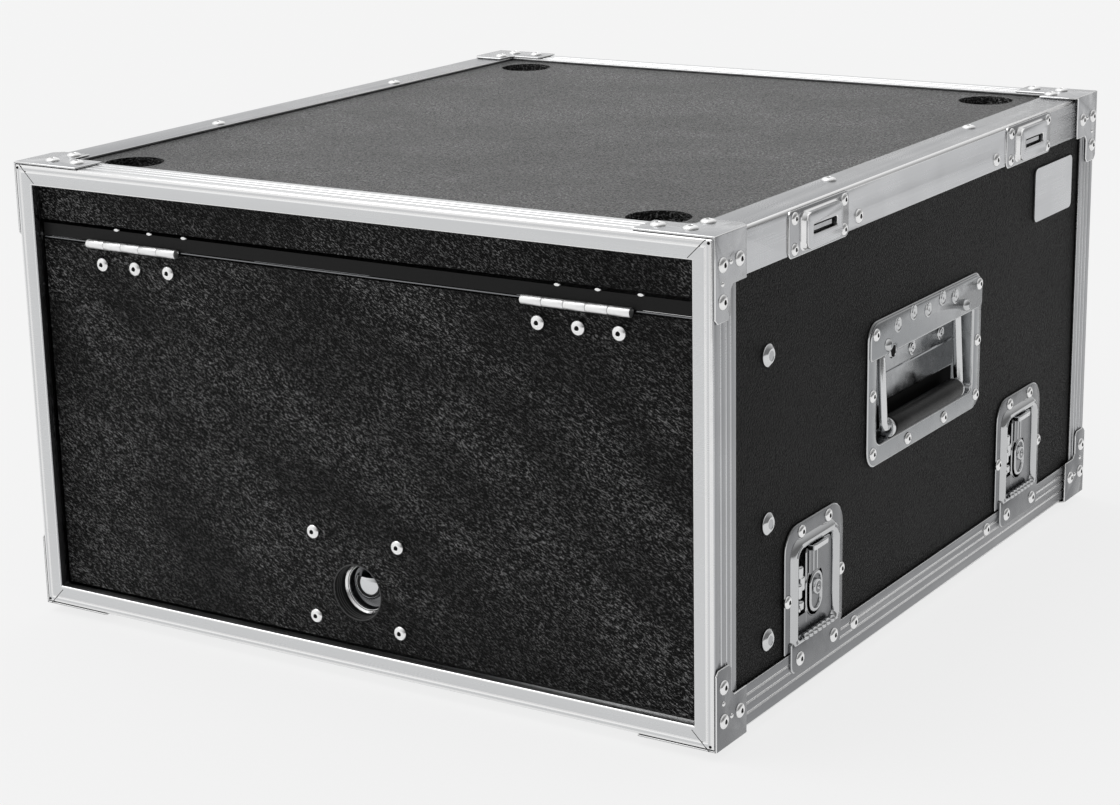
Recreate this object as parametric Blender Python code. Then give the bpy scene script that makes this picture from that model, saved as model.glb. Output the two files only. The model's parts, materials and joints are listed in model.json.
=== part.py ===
# Stackable 19 inch rack case with a door in the front and the rear that swings up and slides in
# under the lid. Metres, +Z up, the front faces -Y, and the origin is on the floor under the middle.
import math

import bmesh
import bpy
from mathutils import Matrix, Vector

# Overall size of the case, without its feet and fittings
WIDTH = 0.530
DEPTH = 0.590
HEIGHT = 0.309
FOOT_HEIGHT = 0.007

# Walls and clearances
PLY = 0.009
PROFILE = 0.0015
SHEET = 0.0012
GAP = 0.0003
SEAT = 0.0002
FLAT = math.radians(0.3)

# Aluminium edges
FLANGE = 0.028
RIM_FACE = 0.0135
RIM_LIP = 0.008
GROOVE_DEPTH = 0.0005
GROOVE_HALF = 0.0006
GROOVES = (0.0095, 0.0160, 0.0215)
RIM_GROOVE = 0.0045
CORNER_RADIUS = 0.0022

# Door, its carriage and its hinges
DOOR_SIDE_GAP = 0.0015
DOOR_FOOT_GAP = 0.0017
DOOR_TOP_FROM_LID = 0.0508
STOW_INSET = 0.0005
BAR_HEIGHT = 0.0086
BAR_DEPTH = 0.025
HEADER_GAP = 0.0023
SLIDER_LENGTH = 0.0255
LEAF = 0.0009
HINGE_LENGTH = 0.076
HINGE_FROM_EDGE = 0.079
KNUCKLES = 5
KNUCKLE_RADIUS = 0.0025
PIN_RADIUS = 0.0012
LEAF_HEIGHT = 0.027
HINGE_RIVET_PITCH = 0.0282
HINGE_RIVET_DROP = 0.0126

# Door catch
FINGER_HOLE_RADIUS = 0.0183
FINGER_HOLE_HEIGHT = 0.0505
CATCH_WIDTH = 0.084
CATCH_HEIGHT = 0.074
CATCH_DEPTH = 0.012
CATCH_RIVET_X = 0.0334
CATCH_RIVET_Z = 0.0288
CATCH_MIDDLE = 0.0578
BOLT_WIDTH = 0.016
BOLT_THICK = 0.005
BOLT_PAD_RADIUS = 0.011
BOLT_PAD_FLAT = 0.0075
BOLT_PAD_STEP = 0.002
BOLT_SETBACK = 0.0038
BOLT_ROOM = 0.0015

# Runners
RUNNER_WALL = 0.0012
RUNNER_REACH = 0.0135
RUNNER_WEB = 0.0014

# Rack rails
RAIL_FROM_SIDE = 0.040
RACK_HOLE_FROM_EDGE = 0.00755
RACK_UNIT = 0.04445
RACK_HOLE_STEPS = (0.00635, 0.022225, 0.0381)
RACK_HOLE_RADIUS = 0.0020
RACK_END = 0.003
RAIL_WALL = 0.0032
RAIL_FROM_FRONT = 0.055
RAIL_FLANGE = 0.030
BOLT_FROM_FRONT = 0.0705
BOLT_FROM_FOOT = 0.0357
BOLT_FROM_HEAD = 0.0136
BOLT_MIDDLE_SHARE = 0.4824
SAUCER_RADIUS = 0.007
SAUCER_TOP_RADIUS = 0.0045
SAUCER_HEIGHT = 0.0022
SHANK_RADIUS = 0.003

# Stacking feet and recesses
FOOT_RADIUS = 0.0185
RECESS_RADIUS = 0.0200
RECESS_DEPTH = 0.006
FOOT_SIDE_INSET = 0.0625
FOOT_FRONT_INSET = 0.0484
FOOT_REAR_INSET = 0.060

# Corner braces
BRACE_LEG = 0.0195
BRACE_DROP = 0.050
BRACE_RUN = 0.0385
BRACE_TOP_LEG = 0.027
BRACE_TOP_REACH = 0.053
BRACE_TOP_RUN = 0.044
BRACE_RIVETS_SIDE = ((0.0093, 0.0163), (0.0293, 0.0163), (0.0093, 0.0378))
BRACE_RIVETS_TOP = ((0.0215, 0.0140), (0.0215, 0.0345), (0.0430, 0.0140))

# Rivets
RIVET_RADIUS = 0.0044
RIVET_HEIGHT = 0.0018
RIVET_SUNK = 0.0009
EDGE_RIVET_GAP = 0.016
EDGE_RIVET_DROP = 0.0206

# Keepers
KEEPER_WIDTH = 0.080
KEEPER_ROUND = 0.004
KEEPER_FROM_TOP = 0.0008
KEEPER_HEIGHT = 0.029
KEEPER_BOX_WIDTH = 0.047
KEEPER_BOX_HEIGHT = 0.0225
KEEPER_BOX_DEPTH = 0.0055
KEEPER_BOX_ROUND = 0.0045
KEEPER_WINDOW_WIDTH = 0.032
KEEPER_WINDOW_HEIGHT = 0.0062

# Latches
LATCH_GAP = 0.0135
LATCH_WIDTH = 0.080
LATCH_TOP = 0.110
LATCH_FOOT = 0.0145
LATCH_ROUND = 0.016
DISH_WIDTH = 0.050
DISH_LOW = 0.0365
DISH_HIGH = 0.092
DISH_DEPTH = 0.0125
DISH_ROUND = 0.006
LATCH_RIM = 0.0072
LATCH_RIM_HEIGHT = 0.0028
TAB_WIDTH = 0.062
LATCH_AXIS_HEIGHT = 0.036
LATCH_AXIS_OUT = 0.0028
LATCH_KNUCKLE = 0.0022
LATCH_KNUCKLE_LENGTH = 0.008
LATCH_KNUCKLES = 5
LATCH_PIN = 0.0009
FLAP_WIDTH = 0.045
FLAP_TOP = 0.0885
FLAP_SHEET = 0.0015
WING_HEIGHT = 0.063
WING_REACH = 0.017
HOOK_WIDTH = 0.016
HOOK_TOP = 0.0835
HOOK_LIP = 0.004
HOOK_TRAVEL = 0.006
BOSS_RADIUS = 0.00775
AXLE_RADIUS = 0.003

# Handles
HANDLE_WIDTH = 0.180
HANDLE_HEIGHT = 0.097
HANDLE_MIDDLE = 0.1661
HANDLE_ROUND = 0.012
HANDLE_DISH_DEPTH = 0.0135
HANDLE_BORDER = 0.0135
HANDLE_BRACKET = 0.026
HANDLE_BRACKET_ROUND = 0.011
HANDLE_DISH_ROUND = 0.006
HANDLE_RIVET_Y = 0.029
HANDLE_RIVET_UP = 0.0065
HANDLE_SIDE_RIVETS = ((0.0075, 0.0095), (0.0065, 0.0485))
BEARING_FROM_ARM = 0.005
BEARING_WIDTH = 0.008
BEARING_DROP = 0.0055
BAIL_FROM_EDGE = 0.020
BAIL_RADIUS = 0.0032
BAIL_AXIS_HEIGHT = 0.1905
BAIL_DROP = 0.0525
BAIL_BEND = 0.0035
BAIL_PIVOT = 0.0135
BAIL_NOTCH = 0.0013
GRIP_RADIUS = 0.0067
GRIP_FROM_ARM = 0.011

# Badge plate
BADGE_WIDTH = 0.070
BADGE_HEIGHT = 0.039
BADGE_FROM_REAR = 0.077
BADGE_DROP = 0.0594
BADGE_ROUND = 0.004
BADGE_THICK = 0.001

# Places worked out from the sizes above
HALF_X = WIDTH / 2
HALF_Y = DEPTH / 2
HALF_Z = HEIGHT / 2
BASE = FOOT_HEIGHT
MIDDLE_Z = BASE + HALF_Z
LID = BASE + HEIGHT
SKIN_X = HALF_X - PROFILE - GAP
INNER_X = SKIN_X - PLY
LID_TOP = LID - PROFILE - GAP
LID_UNDER = LID_TOP - PLY
FLOOR_UNDER = BASE + PROFILE + GAP
FLOOR_TOP = FLOOR_UNDER + PLY
PANEL_Y = HALF_Y - PROFILE - GAP
DOOR_FACE = HALF_Y - RIM_LIP
DOOR_BACK = DOOR_FACE - PLY
DOOR_HALF = HALF_X - RIM_FACE - DOOR_SIDE_GAP
HINGE_SPREAD = DOOR_HALF - HINGE_FROM_EDGE
DOOR_LOW = BASE + RIM_FACE + DOOR_FOOT_GAP
DOOR_HIGH = LID - DOOR_TOP_FROM_LID
AXIS_Y = DOOR_FACE + KNUCKLE_RADIUS + GAP
AXIS_Z = DOOR_HIGH + GAP + LEAF
BAR_LOW = AXIS_Z + LEAF + 2 * GAP
BAR_HIGH = BAR_LOW + BAR_HEIGHT
HEADER_LOW = BAR_HIGH + HEADER_GAP
RUNNER_END = DOOR_BACK - 2 * GAP
RUNNER_TOP = BAR_HIGH + GAP + RUNNER_WALL
STOW_TOP = AXIS_Z - KNUCKLE_RADIUS - GAP
STOW_UNDER = STOW_TOP - PLY
STROKE = AXIS_Y - DOOR_FACE + STOW_INSET + AXIS_Z - DOOR_LOW
BAIL_SPREAD = HANDLE_WIDTH / 2 - BAIL_FROM_EDGE
GRIP_LENGTH = 2 * (BAIL_SPREAD - GRIP_FROM_ARM)
RAIL_LOW = FLOOR_TOP + GAP
RAIL_ROOM = STOW_UNDER - 2 * GAP - RUNNER_WALL - RAIL_LOW - 2 * RACK_END
RACK_UNITS = int(RAIL_ROOM / RACK_UNIT)
RAIL_HIGH = RAIL_LOW + RACK_UNITS * RACK_UNIT + 2 * RACK_END
RACK_HALF = HALF_X - RAIL_FROM_SIDE
BOLT_Y = HALF_Y - BOLT_FROM_FRONT
LATCH_SPREAD = BOLT_Y - SAUCER_RADIUS - LATCH_GAP - LATCH_WIDTH / 2
EDGE_RIVET_SPREAD = LATCH_SPREAD - KEEPER_WIDTH / 2 - EDGE_RIVET_GAP

collection = None
cutters = None
materials = {}


def new_material(name, colour, roughness, metallic):
    made = bpy.data.materials.new(name)
    made.use_nodes = True
    shader = made.node_tree.nodes["Principled BSDF"]
    shader.inputs["Base Color"].default_value = (*colour, 1.0)
    shader.inputs["Roughness"].default_value = roughness
    shader.inputs["Metallic"].default_value = metallic
    materials[name] = made


def link(name, mesh, material=None):
    """A node in the object's collection, or a tool in the cutters' when it has no material."""
    obj = bpy.data.objects.new(name, mesh)
    if material:
        mesh.materials.clear()
        mesh.materials.append(materials[material])
        collection.objects.link(obj)
        return obj
    cutters.objects.link(obj)
    obj.hide_render = True
    obj.display_type = "WIRE"
    return obj


def mesh_from(bm, name):
    bmesh.ops.recalc_face_normals(bm, faces=bm.faces)
    bmesh.ops.dissolve_limit(bm, angle_limit=FLAT, verts=bm.verts, edges=bm.edges)
    mesh = bpy.data.meshes.new(name)
    bm.to_mesh(mesh)
    bm.free()
    return mesh


def box(name, low, high, material=None):
    low = Vector(low)
    high = Vector(high)
    bm = bmesh.new()
    size = Matrix.Diagonal((*[abs(s) for s in high - low], 1.0))
    bmesh.ops.create_cube(bm, size=1.0, matrix=Matrix.Translation((low + high) / 2) @ size)
    return link(name, mesh_from(bm, name), material)


def turn_to(axis):
    return Vector((0, 0, 1)).rotation_difference(Vector(axis)).to_matrix().to_4x4()


def add_cone(bm, start, axis, length, radius, end_radius, segments):
    axis = Vector(axis)
    place = Matrix.Translation(Vector(start) + axis * length / 2) @ turn_to(axis)
    bmesh.ops.create_cone(
        bm, cap_ends=True, segments=segments, radius1=radius, radius2=end_radius, depth=length, matrix=place
    )


def rod(name, start, axis, length, radius, segments=12, material=None, end_radius=None):
    bm = bmesh.new()
    add_cone(bm, start, axis, length, radius, end_radius or radius, segments)
    return link(name, mesh_from(bm, name), material)


def rods(name, starts, axis, length, radius, segments=12):
    bm = bmesh.new()
    for start in starts:
        add_cone(bm, start, axis, length, radius, radius, segments)
    return link(name, mesh_from(bm, name))


def rivets(name, places, axis):
    """Low domed heads that stand on a surface and reach a little into it."""
    bm = bmesh.new()
    axis = Vector(axis)
    for place in places:
        start = Vector(place) - axis * RIVET_SUNK
        add_cone(bm, start, axis, RIVET_SUNK + RIVET_HEIGHT, RIVET_RADIUS, 0.6 * RIVET_RADIUS, 6)
    return link(name, mesh_from(bm, name))


def arc(centre, radius, start, end, steps):
    turns = [math.radians(start + (end - start) * k / steps) for k in range(steps + 1)]
    return [(centre[0] + radius * math.cos(t), centre[1] + radius * math.sin(t)) for t in turns]


def circle(centre, radius, steps=12):
    return arc(centre, radius, 0, 360, steps)[:-1]


def rounded(low, high, radius, steps=3, corners=(1, 1, 1, 1)):
    """A rectangle whose corners are rounded, counted from its low corner round to the left."""
    spots = ((low[0], low[1], 180), (high[0], low[1], 270), (high[0], high[1], 0), (low[0], high[1], 90))
    points = []
    for (x, y, turn), share in zip(spots, corners):
        r = radius * share
        if r == 0:
            points.append((x, y))
            continue
        centre = (x + r if x == low[0] else x - r, y + r if y == low[1] else y - r)
        points += arc(centre, r, turn, turn + 90, steps)
    return points


# Local X, Y and Z of an outline, in the world, for each direction that it is thickened in
PLANES = {
    "X": Matrix(((0, 0, 1), (1, 0, 0), (0, 1, 0))).to_4x4(),
    "Y": Matrix(((1, 0, 0), (0, 0, -1), (0, 1, 0))).to_4x4(),
    "Z": Matrix.Identity(4),
}


def plate(name, outlines, through, low, high, material=None):
    """A flat outline, its holes after it, thickened along X, Y or Z from low to high."""
    shift = Vector([(low + high) / 2 if letter == through else 0 for letter in "XYZ"])
    place = Matrix.Translation(shift) @ PLANES[through]
    half = abs(high - low) / 2
    bm = bmesh.new()
    if len(outlines) == 1:
        floor = [bm.verts.new((a, b, -half)) for a, b in outlines[0]]
        roof = [bm.verts.new((a, b, half)) for a, b in outlines[0]]
        bm.faces.new(floor)
        bm.faces.new(roof)
        for k in range(len(floor)):
            bm.faces.new((floor[k - 1], floor[k], roof[k], roof[k - 1]))
    else:
        bm.from_mesh(filled(name + "_outline", outlines, half))
        bmesh.ops.remove_doubles(bm, verts=bm.verts, dist=1e-6)
    bm.transform(place)
    return link(name, mesh_from(bm, name), material)


def filled(name, outlines, half):
    """An outline with holes in it, filled and thickened as a flat curve."""
    curve = bpy.data.curves.new(name, "CURVE")
    curve.dimensions = "2D"
    curve.fill_mode = "BOTH"
    curve.extrude = half
    for outline in outlines:
        spline = curve.splines.new("POLY")
        spline.points.add(len(outline) - 1)
        for point, (a, b) in zip(spline.points, outline):
            point.co = (a, b, 0, 1)
        spline.use_cyclic_u = True
    guide = bpy.data.objects.new(name, curve)
    cutters.objects.link(guide)
    mesh = bpy.data.meshes.new_from_object(guide.evaluated_get(bpy.context.evaluated_depsgraph_get()))
    bpy.data.objects.remove(guide)
    return mesh


def change(target, tool, operation):
    step = target.modifiers.new(operation.lower(), "BOOLEAN")
    step.operation = operation
    step.solver = "EXACT"
    step.object = tool
    tool.parent = target
    return target


def fuse(target, *tools):
    for tool in tools:
        change(target, tool, "UNION")
    return target


def cut(target, *tools):
    for tool in tools:
        change(target, tool, "DIFFERENCE")
    return target


def both(a, b):
    return (min(a, b), max(a, b))


def side_outline(outline, side):
    return [(side * a, b) for a, b in outline]


def rim_section():
    """The frame's section as (inwards from the side, back from the front): a channel over the ply."""
    points = [(0, FLANGE)]
    for place in sorted(GROOVES, reverse=True):
        points += [(0, place + GROOVE_HALF), (GROOVE_DEPTH, place + GROOVE_HALF / 2)]
        points += [(GROOVE_DEPTH, place - GROOVE_HALF / 2), (0, place - GROOVE_HALF)]
    points += arc((CORNER_RADIUS, CORNER_RADIUS), CORNER_RADIUS, 180, 270, 3)
    points += [(RIM_GROOVE - GROOVE_HALF, 0), (RIM_GROOVE, GROOVE_DEPTH), (RIM_GROOVE + GROOVE_HALF, 0)]
    points += [(RIM_FACE - PROFILE / 2, 0), (RIM_FACE, PROFILE / 2), (RIM_FACE, RIM_LIP)]
    points += [(RIM_FACE - PROFILE, RIM_LIP), (RIM_FACE - PROFILE, PROFILE), (PROFILE, PROFILE), (PROFILE, FLANGE)]
    return points


def rim(name, end):
    """A mitred frame round one opening: the section spun in four steps, then stretched to the width."""
    bm = bmesh.new()
    loop = [bm.verts.new((HALF_Z - u, end * (HALF_Y - v), HALF_Z - u)) for u, v in rim_section()]
    edges = [bm.edges.new((loop[k - 1], loop[k])) for k in range(len(loop))]
    bmesh.ops.spin(
        bm, geom=loop + edges, cent=(0, 0, 0), axis=(0, 1, 0), angle=2 * math.pi, steps=4, use_merge=True
    )
    bmesh.ops.remove_doubles(bm, verts=bm.verts, dist=1e-6)
    for vert in bm.verts:
        vert.co.x += math.copysign(HALF_X - HALF_Z, vert.co.x)
        vert.co.z += MIDDLE_Z
    return link(name, mesh_from(bm, name), "edge_aluminium")


def edge_section(grooved):
    """An angle's section as (along one face, along the other) from its outer corner."""
    leg = []
    if grooved:
        for place in sorted(GROOVES, reverse=True):
            leg += [(0, place + GROOVE_HALF), (GROOVE_DEPTH, place + GROOVE_HALF / 2)]
            leg += [(GROOVE_DEPTH, place - GROOVE_HALF / 2), (0, place - GROOVE_HALF)]
    points = [(0, FLANGE)] + leg
    points += arc((CORNER_RADIUS, CORNER_RADIUS), CORNER_RADIUS, 180, 270, 3)
    points += [(b, a) for a, b in reversed(leg)] + [(FLANGE, 0)]
    return points + [(FLANGE, PROFILE), (PROFILE, PROFILE), (PROFILE, FLANGE)]


def edge_profile(name, side, level):
    """A long angle along one edge: smooth with its keepers on top, grooved at the bottom."""
    outline = [(side * (HALF_X - u), MIDDLE_Z + level * (HALF_Z - v)) for u, v in edge_section(level < 0)]
    half = HALF_Y - FLANGE - GAP
    profile = plate(name, [outline], "Y", -half, half, "edge_aluminium")
    heads = [(side * HALF_X, y, MIDDLE_Z + level * (HALF_Z - EDGE_RIVET_DROP)) for y in edge_rivets()]
    fuse(profile, rivets(name + "_side_rivets", heads, (side, 0, 0)))
    if level > 0:
        flats = [(side * (HALF_X - EDGE_RIVET_DROP), y, LID) for y in edge_rivets()]
        fuse(profile, rivets(name + "_flat_rivets", flats, (0, 0, level)))
        for end in (-1, 1):
            add_keeper(profile, side, end * LATCH_SPREAD)
    return profile


def edge_rivets():
    return (-EDGE_RIVET_SPREAD, EDGE_RIVET_SPREAD)


def add_keeper(profile, side, y):
    """A stamped plate with a raised box and a window, which the hook of the latch above enters."""
    name = f"{profile.name}_keeper_{'front' if y < 0 else 'rear'}"
    face = side * (HALF_X - SEAT)
    skin = side * (HALF_X + SHEET)
    top = LID - KEEPER_FROM_TOP
    low = top - KEEPER_HEIGHT
    middle = (top + low) / 2
    outline = rounded((y - KEEPER_WIDTH / 2, low), (y + KEEPER_WIDTH / 2, top), KEEPER_ROUND, 2)
    fuse(profile, plate(name, [outline], "X", *both(face, skin)))
    half = KEEPER_BOX_WIDTH / 2
    inner = KEEPER_BOX_HEIGHT / 2
    raised = rounded((y - half, middle - inner), (y + half, middle + inner), KEEPER_BOX_ROUND, 2)
    out = side * (HALF_X + KEEPER_BOX_DEPTH)
    fuse(profile, plate(name + "_box", [raised], "X", *both(face - side * SEAT, out)))
    low_corner = (side * (HALF_X + SHEET + GAP), y - KEEPER_WINDOW_WIDTH / 2, middle - KEEPER_WINDOW_HEIGHT / 2)
    high_corner = (2 * out - face, y + KEEPER_WINDOW_WIDTH / 2, middle + KEEPER_WINDOW_HEIGHT / 2)
    cut(profile, box(name + "_window", low_corner, high_corner))


def brace(name, side, end, level):
    """A steel corner brace: an L on the side, an L on the lid or the floor, and a fold between them."""
    def at_side(run, drop):
        return (end * (HALF_Y - run), MIDDLE_Z + level * (HALF_Z - drop))

    def at_flat(reach, run):
        return (side * (HALF_X - reach), end * (HALF_Y - run))

    inner = HALF_X + GAP
    outer = inner + SHEET
    edge = -(SHEET + GAP)
    start = 0.0008
    side_points = [(start, edge), (BRACE_RUN, edge), (BRACE_RUN, FLANGE + 0.0015)]
    side_points += [(BRACE_LEG + 0.003, FLANGE + 0.0015), (BRACE_LEG, FLANGE + 0.0045)]
    side_points += [(BRACE_LEG, BRACE_DROP - 0.003), (BRACE_LEG - 0.003, BRACE_DROP)]
    side_points += [(start + 0.003, BRACE_DROP), (start, BRACE_DROP - 0.003)]
    body = plate(name, [[at_side(*p) for p in side_points]], "X", *both(side * inner, side * outer), "steel")
    top_inner = MIDDLE_Z + level * (HALF_Z + GAP)
    top_outer = MIDDLE_Z + level * (HALF_Z + GAP + SHEET)
    flat_points = [(edge, start), (BRACE_TOP_REACH, start), (BRACE_TOP_REACH, BRACE_TOP_LEG)]
    flat_points += [(BRACE_TOP_LEG + 0.003, BRACE_TOP_LEG), (BRACE_TOP_LEG, BRACE_TOP_LEG + 0.003)]
    flat_points += [(BRACE_TOP_LEG, BRACE_TOP_RUN), (0.004, BRACE_TOP_RUN), (edge, BRACE_RUN)]
    fuse(body, plate(name + "_flat", [[at_flat(*p) for p in flat_points]], "Z", *both(top_inner, top_outer)))
    heads = [(side * outer, *at_side(*p)) for p in BRACE_RIVETS_SIDE]
    fuse(body, rivets(name + "_side_rivets", heads, (side, 0, 0)))
    if level > 0:
        flats = [(*at_flat(*p), top_outer) for p in BRACE_RIVETS_TOP]
        fuse(body, rivets(name + "_flat_rivets", flats, (0, 0, level)))
    return body


def foot_places():
    x = HALF_X - FOOT_SIDE_INSET
    ends = (-(HALF_Y - FOOT_FRONT_INSET), HALF_Y - FOOT_REAR_INSET)
    return [(side * x, y) for side in (-1, 1) for y in ends]


def lid_panel():
    low = (-SKIN_X, -PANEL_Y, LID_UNDER)
    panel = box("top_panel", low, (SKIN_X, PANEL_Y, LID_TOP), "vinyl")
    floors = [(x, y, LID_TOP - RECESS_DEPTH) for x, y in foot_places()]
    return cut(panel, rods("stacking_recesses", floors, (0, 0, 1), 2 * RECESS_DEPTH, RECESS_RADIUS, 20))


def floor_panel():
    low = (-SKIN_X, -PANEL_Y, FLOOR_UNDER)
    panel = box("bottom_panel", low, (SKIN_X, PANEL_Y, FLOOR_TOP), "vinyl")
    half = BOLT_WIDTH / 2 + BOLT_ROOM
    back = DOOR_BACK - BOLT_SETBACK + BOLT_ROOM - GAP / 2
    low = (-half, -back, FLOOR_TOP - 0.0035)
    return cut(panel, box("bolt_pocket", low, (half, -back + BOLT_THICK + 0.003, FLOOR_TOP + 0.01)))


def foot(name, x, y):
    return rod(name, (x, y, 0), (0, 0, 1), FLOOR_UNDER - GAP, FOOT_RADIUS - 0.0015, 20, "rubber", FOOT_RADIUS)


def side_panel(name, side):
    """Ply with its openings for the handle, the two latches and the rail bolts."""
    outline = [(-PANEL_Y, FLOOR_TOP + GAP), (PANEL_Y, FLOOR_TOP + GAP)]
    outline += [(PANEL_Y, LID_UNDER - GAP), (-PANEL_Y, LID_UNDER - GAP)]
    margin = SHEET + 2 * GAP
    half_y, low, high = handle_dish()
    holes = [rounded((-half_y - margin, low - margin), (half_y + margin, high + margin), HANDLE_DISH_ROUND, 2)]
    for end in (-1, 1):
        y = end * LATCH_SPREAD
        half = DISH_WIDTH / 2 + margin
        low_corner = (y - half, BASE + DISH_LOW - margin)
        holes.append(rounded(low_corner, (y + half, BASE + DISH_HIGH + margin), DISH_ROUND, 2))
    for height in bolt_heights():
        holes.append(circle((-BOLT_Y, height), SHANK_RADIUS + GAP, 8))
    return plate(name, [outline, *holes], "X", *both(side * INNER_X, side * SKIN_X), "vinyl")


def header(name, end):
    front = DOOR_FACE - GAP
    half = INNER_X - GAP
    return box(
        name, (-half, end * front, HEADER_LOW), (half, end * (front - PLY), LID_UNDER - GAP), "vinyl"
    )


def bolt_heights():
    middle = RAIL_LOW + BOLT_MIDDLE_SHARE * (RAIL_HIGH - RAIL_LOW)
    return (RAIL_LOW + BOLT_FROM_FOOT, middle, RAIL_HIGH - BOLT_FROM_HEAD)


def rack_rail(name, side):
    """A steel angle with tapped rack holes; its three bolts come through the side to saucer heads."""
    front = -(HALF_Y - RAIL_FROM_FRONT)
    edge = INNER_X - GAP
    flange = front + RAIL_FLANGE
    angle = [(RACK_HALF, front), (edge, front), (edge, flange), (edge - RAIL_WALL, flange)]
    angle += [(edge - RAIL_WALL, front + RAIL_WALL), (RACK_HALF, front + RAIL_WALL)]
    rail = plate(name, [side_outline(angle, side)], "Z", RAIL_LOW, RAIL_HIGH, "steel")
    first = RAIL_LOW + RACK_END
    heights = [first + unit * RACK_UNIT + step for unit in range(RACK_UNITS) for step in RACK_HOLE_STEPS]
    starts = [(side * (RACK_HALF + RACK_HOLE_FROM_EDGE), front - RAIL_WALL, z) for z in heights]
    cut(rail, rods(name + "_holes", starts, (0, 1, 0), 3 * RAIL_WALL, RACK_HOLE_RADIUS, 6))
    for number, height in enumerate(bolt_heights()):
        place = (side * (edge - RAIL_WALL / 2), -BOLT_Y, height)
        reach = SKIN_X + GAP - edge + RAIL_WALL / 2
        head = (side * (SKIN_X + GAP), place[1], place[2])
        saucer = rod(
            f"{name}_saucer_{number}", head, (side, 0, 0), SAUCER_HEIGHT, SAUCER_RADIUS, 10, None, SAUCER_TOP_RADIUS
        )
        shank = rod(f"{name}_shank_{number}", place, (side, 0, 0), reach + SEAT, SHANK_RADIUS - GAP, 6)
        fuse(rail, shank, saucer)
    return rail


def runner(name, side):
    """A channel with a ledge below: the carriage slides in the channel and the door lies on the ledge."""
    outer = INNER_X - GAP
    web = outer - RUNNER_WEB
    inner = outer - RUNNER_REACH
    ledges = (
        (STOW_UNDER - GAP - RUNNER_WALL, STOW_UNDER - GAP),
        (BAR_LOW - GAP - RUNNER_WALL, BAR_LOW - GAP),
        (RUNNER_TOP - RUNNER_WALL, RUNNER_TOP),
    )
    outline = [(outer, ledges[0][0]), (outer, ledges[-1][1])]
    for number, (low, high) in enumerate(reversed(ledges)):
        outline += [(inner, high), (inner, low)]
        if number < len(ledges) - 1:
            outline += [(web, low), (web, ledges[-2 - number][1])]
    return plate(name, [side_outline(outline, side)], "Y", -RUNNER_END, RUNNER_END, "edge_aluminium")


def castellated(x, mine, notch, back):
    """A leaf seen from above: tabs run out to the hinge axis, and the other leaf's knuckles get notches."""
    start = x - HINGE_LENGTH / 2 + SEAT
    pitch = (HINGE_LENGTH - 2 * SEAT) / KNUCKLES
    points = []
    for number in range(KNUCKLES):
        left = start + number * pitch
        right = left + pitch
        reach = -AXIS_Y if number % 2 == mine else notch
        inset = (GAP + SEAT) if number % 2 == mine else -(GAP + SEAT)
        left_edge = left if number == 0 else left + inset
        right_edge = right if number == KNUCKLES - 1 else right - inset
        points += [(left_edge, reach), (right_edge, reach)]
    return points + [(start + KNUCKLES * pitch, back), (start, back)]


def knuckle_rods(name, x, mine):
    """The barrel's pieces that belong to one leaf, as one mesh."""
    start = x - HINGE_LENGTH / 2
    pitch = HINGE_LENGTH / KNUCKLES
    places = [(start + k * pitch + GAP, -AXIS_Y, AXIS_Z) for k in range(KNUCKLES) if k % 2 == mine]
    return rods(name, places, (1, 0, 0), pitch - 2 * GAP, KNUCKLE_RADIUS, 8)


def hinge_rivet_places(x):
    return [(x + k * HINGE_RIVET_PITCH, DOOR_HIGH - HINGE_RIVET_DROP) for k in (-1, 0, 1)]


def catch_rivet_places():
    middle = BASE + CATCH_MIDDLE
    return [(a * CATCH_RIVET_X, middle + b * CATCH_RIVET_Z) for a in (-1, 1) for b in (-1, 1)]


def door_panel(name):
    outline = [(-DOOR_HALF, DOOR_LOW), (DOOR_HALF, DOOR_LOW), (DOOR_HALF, DOOR_HIGH), (-DOOR_HALF, DOOR_HIGH)]
    holes = [circle((0, BASE + FINGER_HOLE_HEIGHT), FINGER_HOLE_RADIUS, 20)]
    places = hinge_rivet_places(-HINGE_SPREAD) + hinge_rivet_places(HINGE_SPREAD) + catch_rivet_places()
    holes += [circle(place, SHANK_RADIUS - GAP, 6) for place in places]
    return plate(name, [outline, *holes], "Y", -DOOR_FACE, -DOOR_BACK, "vinyl")


def through_rivets(name, places):
    """Shanks through the door, with their heads on its face, as (shanks, heads)."""
    face = -DOOR_FACE - GAP
    heads = bmesh.new()
    for x, z in places:
        add_cone(heads, (x, face, z), (0, -1, 0), RIVET_HEIGHT, RIVET_RADIUS, 0.6 * RIVET_RADIUS, 6)
    starts = [(x, face - RIVET_HEIGHT / 2, z) for x, z in places]
    length = RIVET_HEIGHT / 2 + PLY + 2 * GAP + LEAF / 2
    shanks = rods(name + "_shanks", starts, (0, 1, 0), length, SHANK_RADIUS - 3 * GAP, 6)
    return shanks, link(name + "_heads", mesh_from(heads, name + "_heads"))


def door_leaf_tools(name, x):
    """The back plate, the strip over the door's edge, and the rivets, of one door leaf."""
    back = -(DOOR_BACK - GAP)
    notch = -(AXIS_Y - KNUCKLE_RADIUS - GAP)
    low = (x - HINGE_LENGTH / 2, back, DOOR_HIGH - LEAF_HEIGHT)
    high = (x + HINGE_LENGTH / 2, back + LEAF, AXIS_Z - SEAT)
    strip = plate(name + "_strip", [castellated(x, 0, notch, back + LEAF - SEAT)], "Z", AXIS_Z - LEAF, AXIS_Z)
    return [box(name + "_plate", low, high), strip, *through_rivets(name, hinge_rivet_places(x))]


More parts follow.
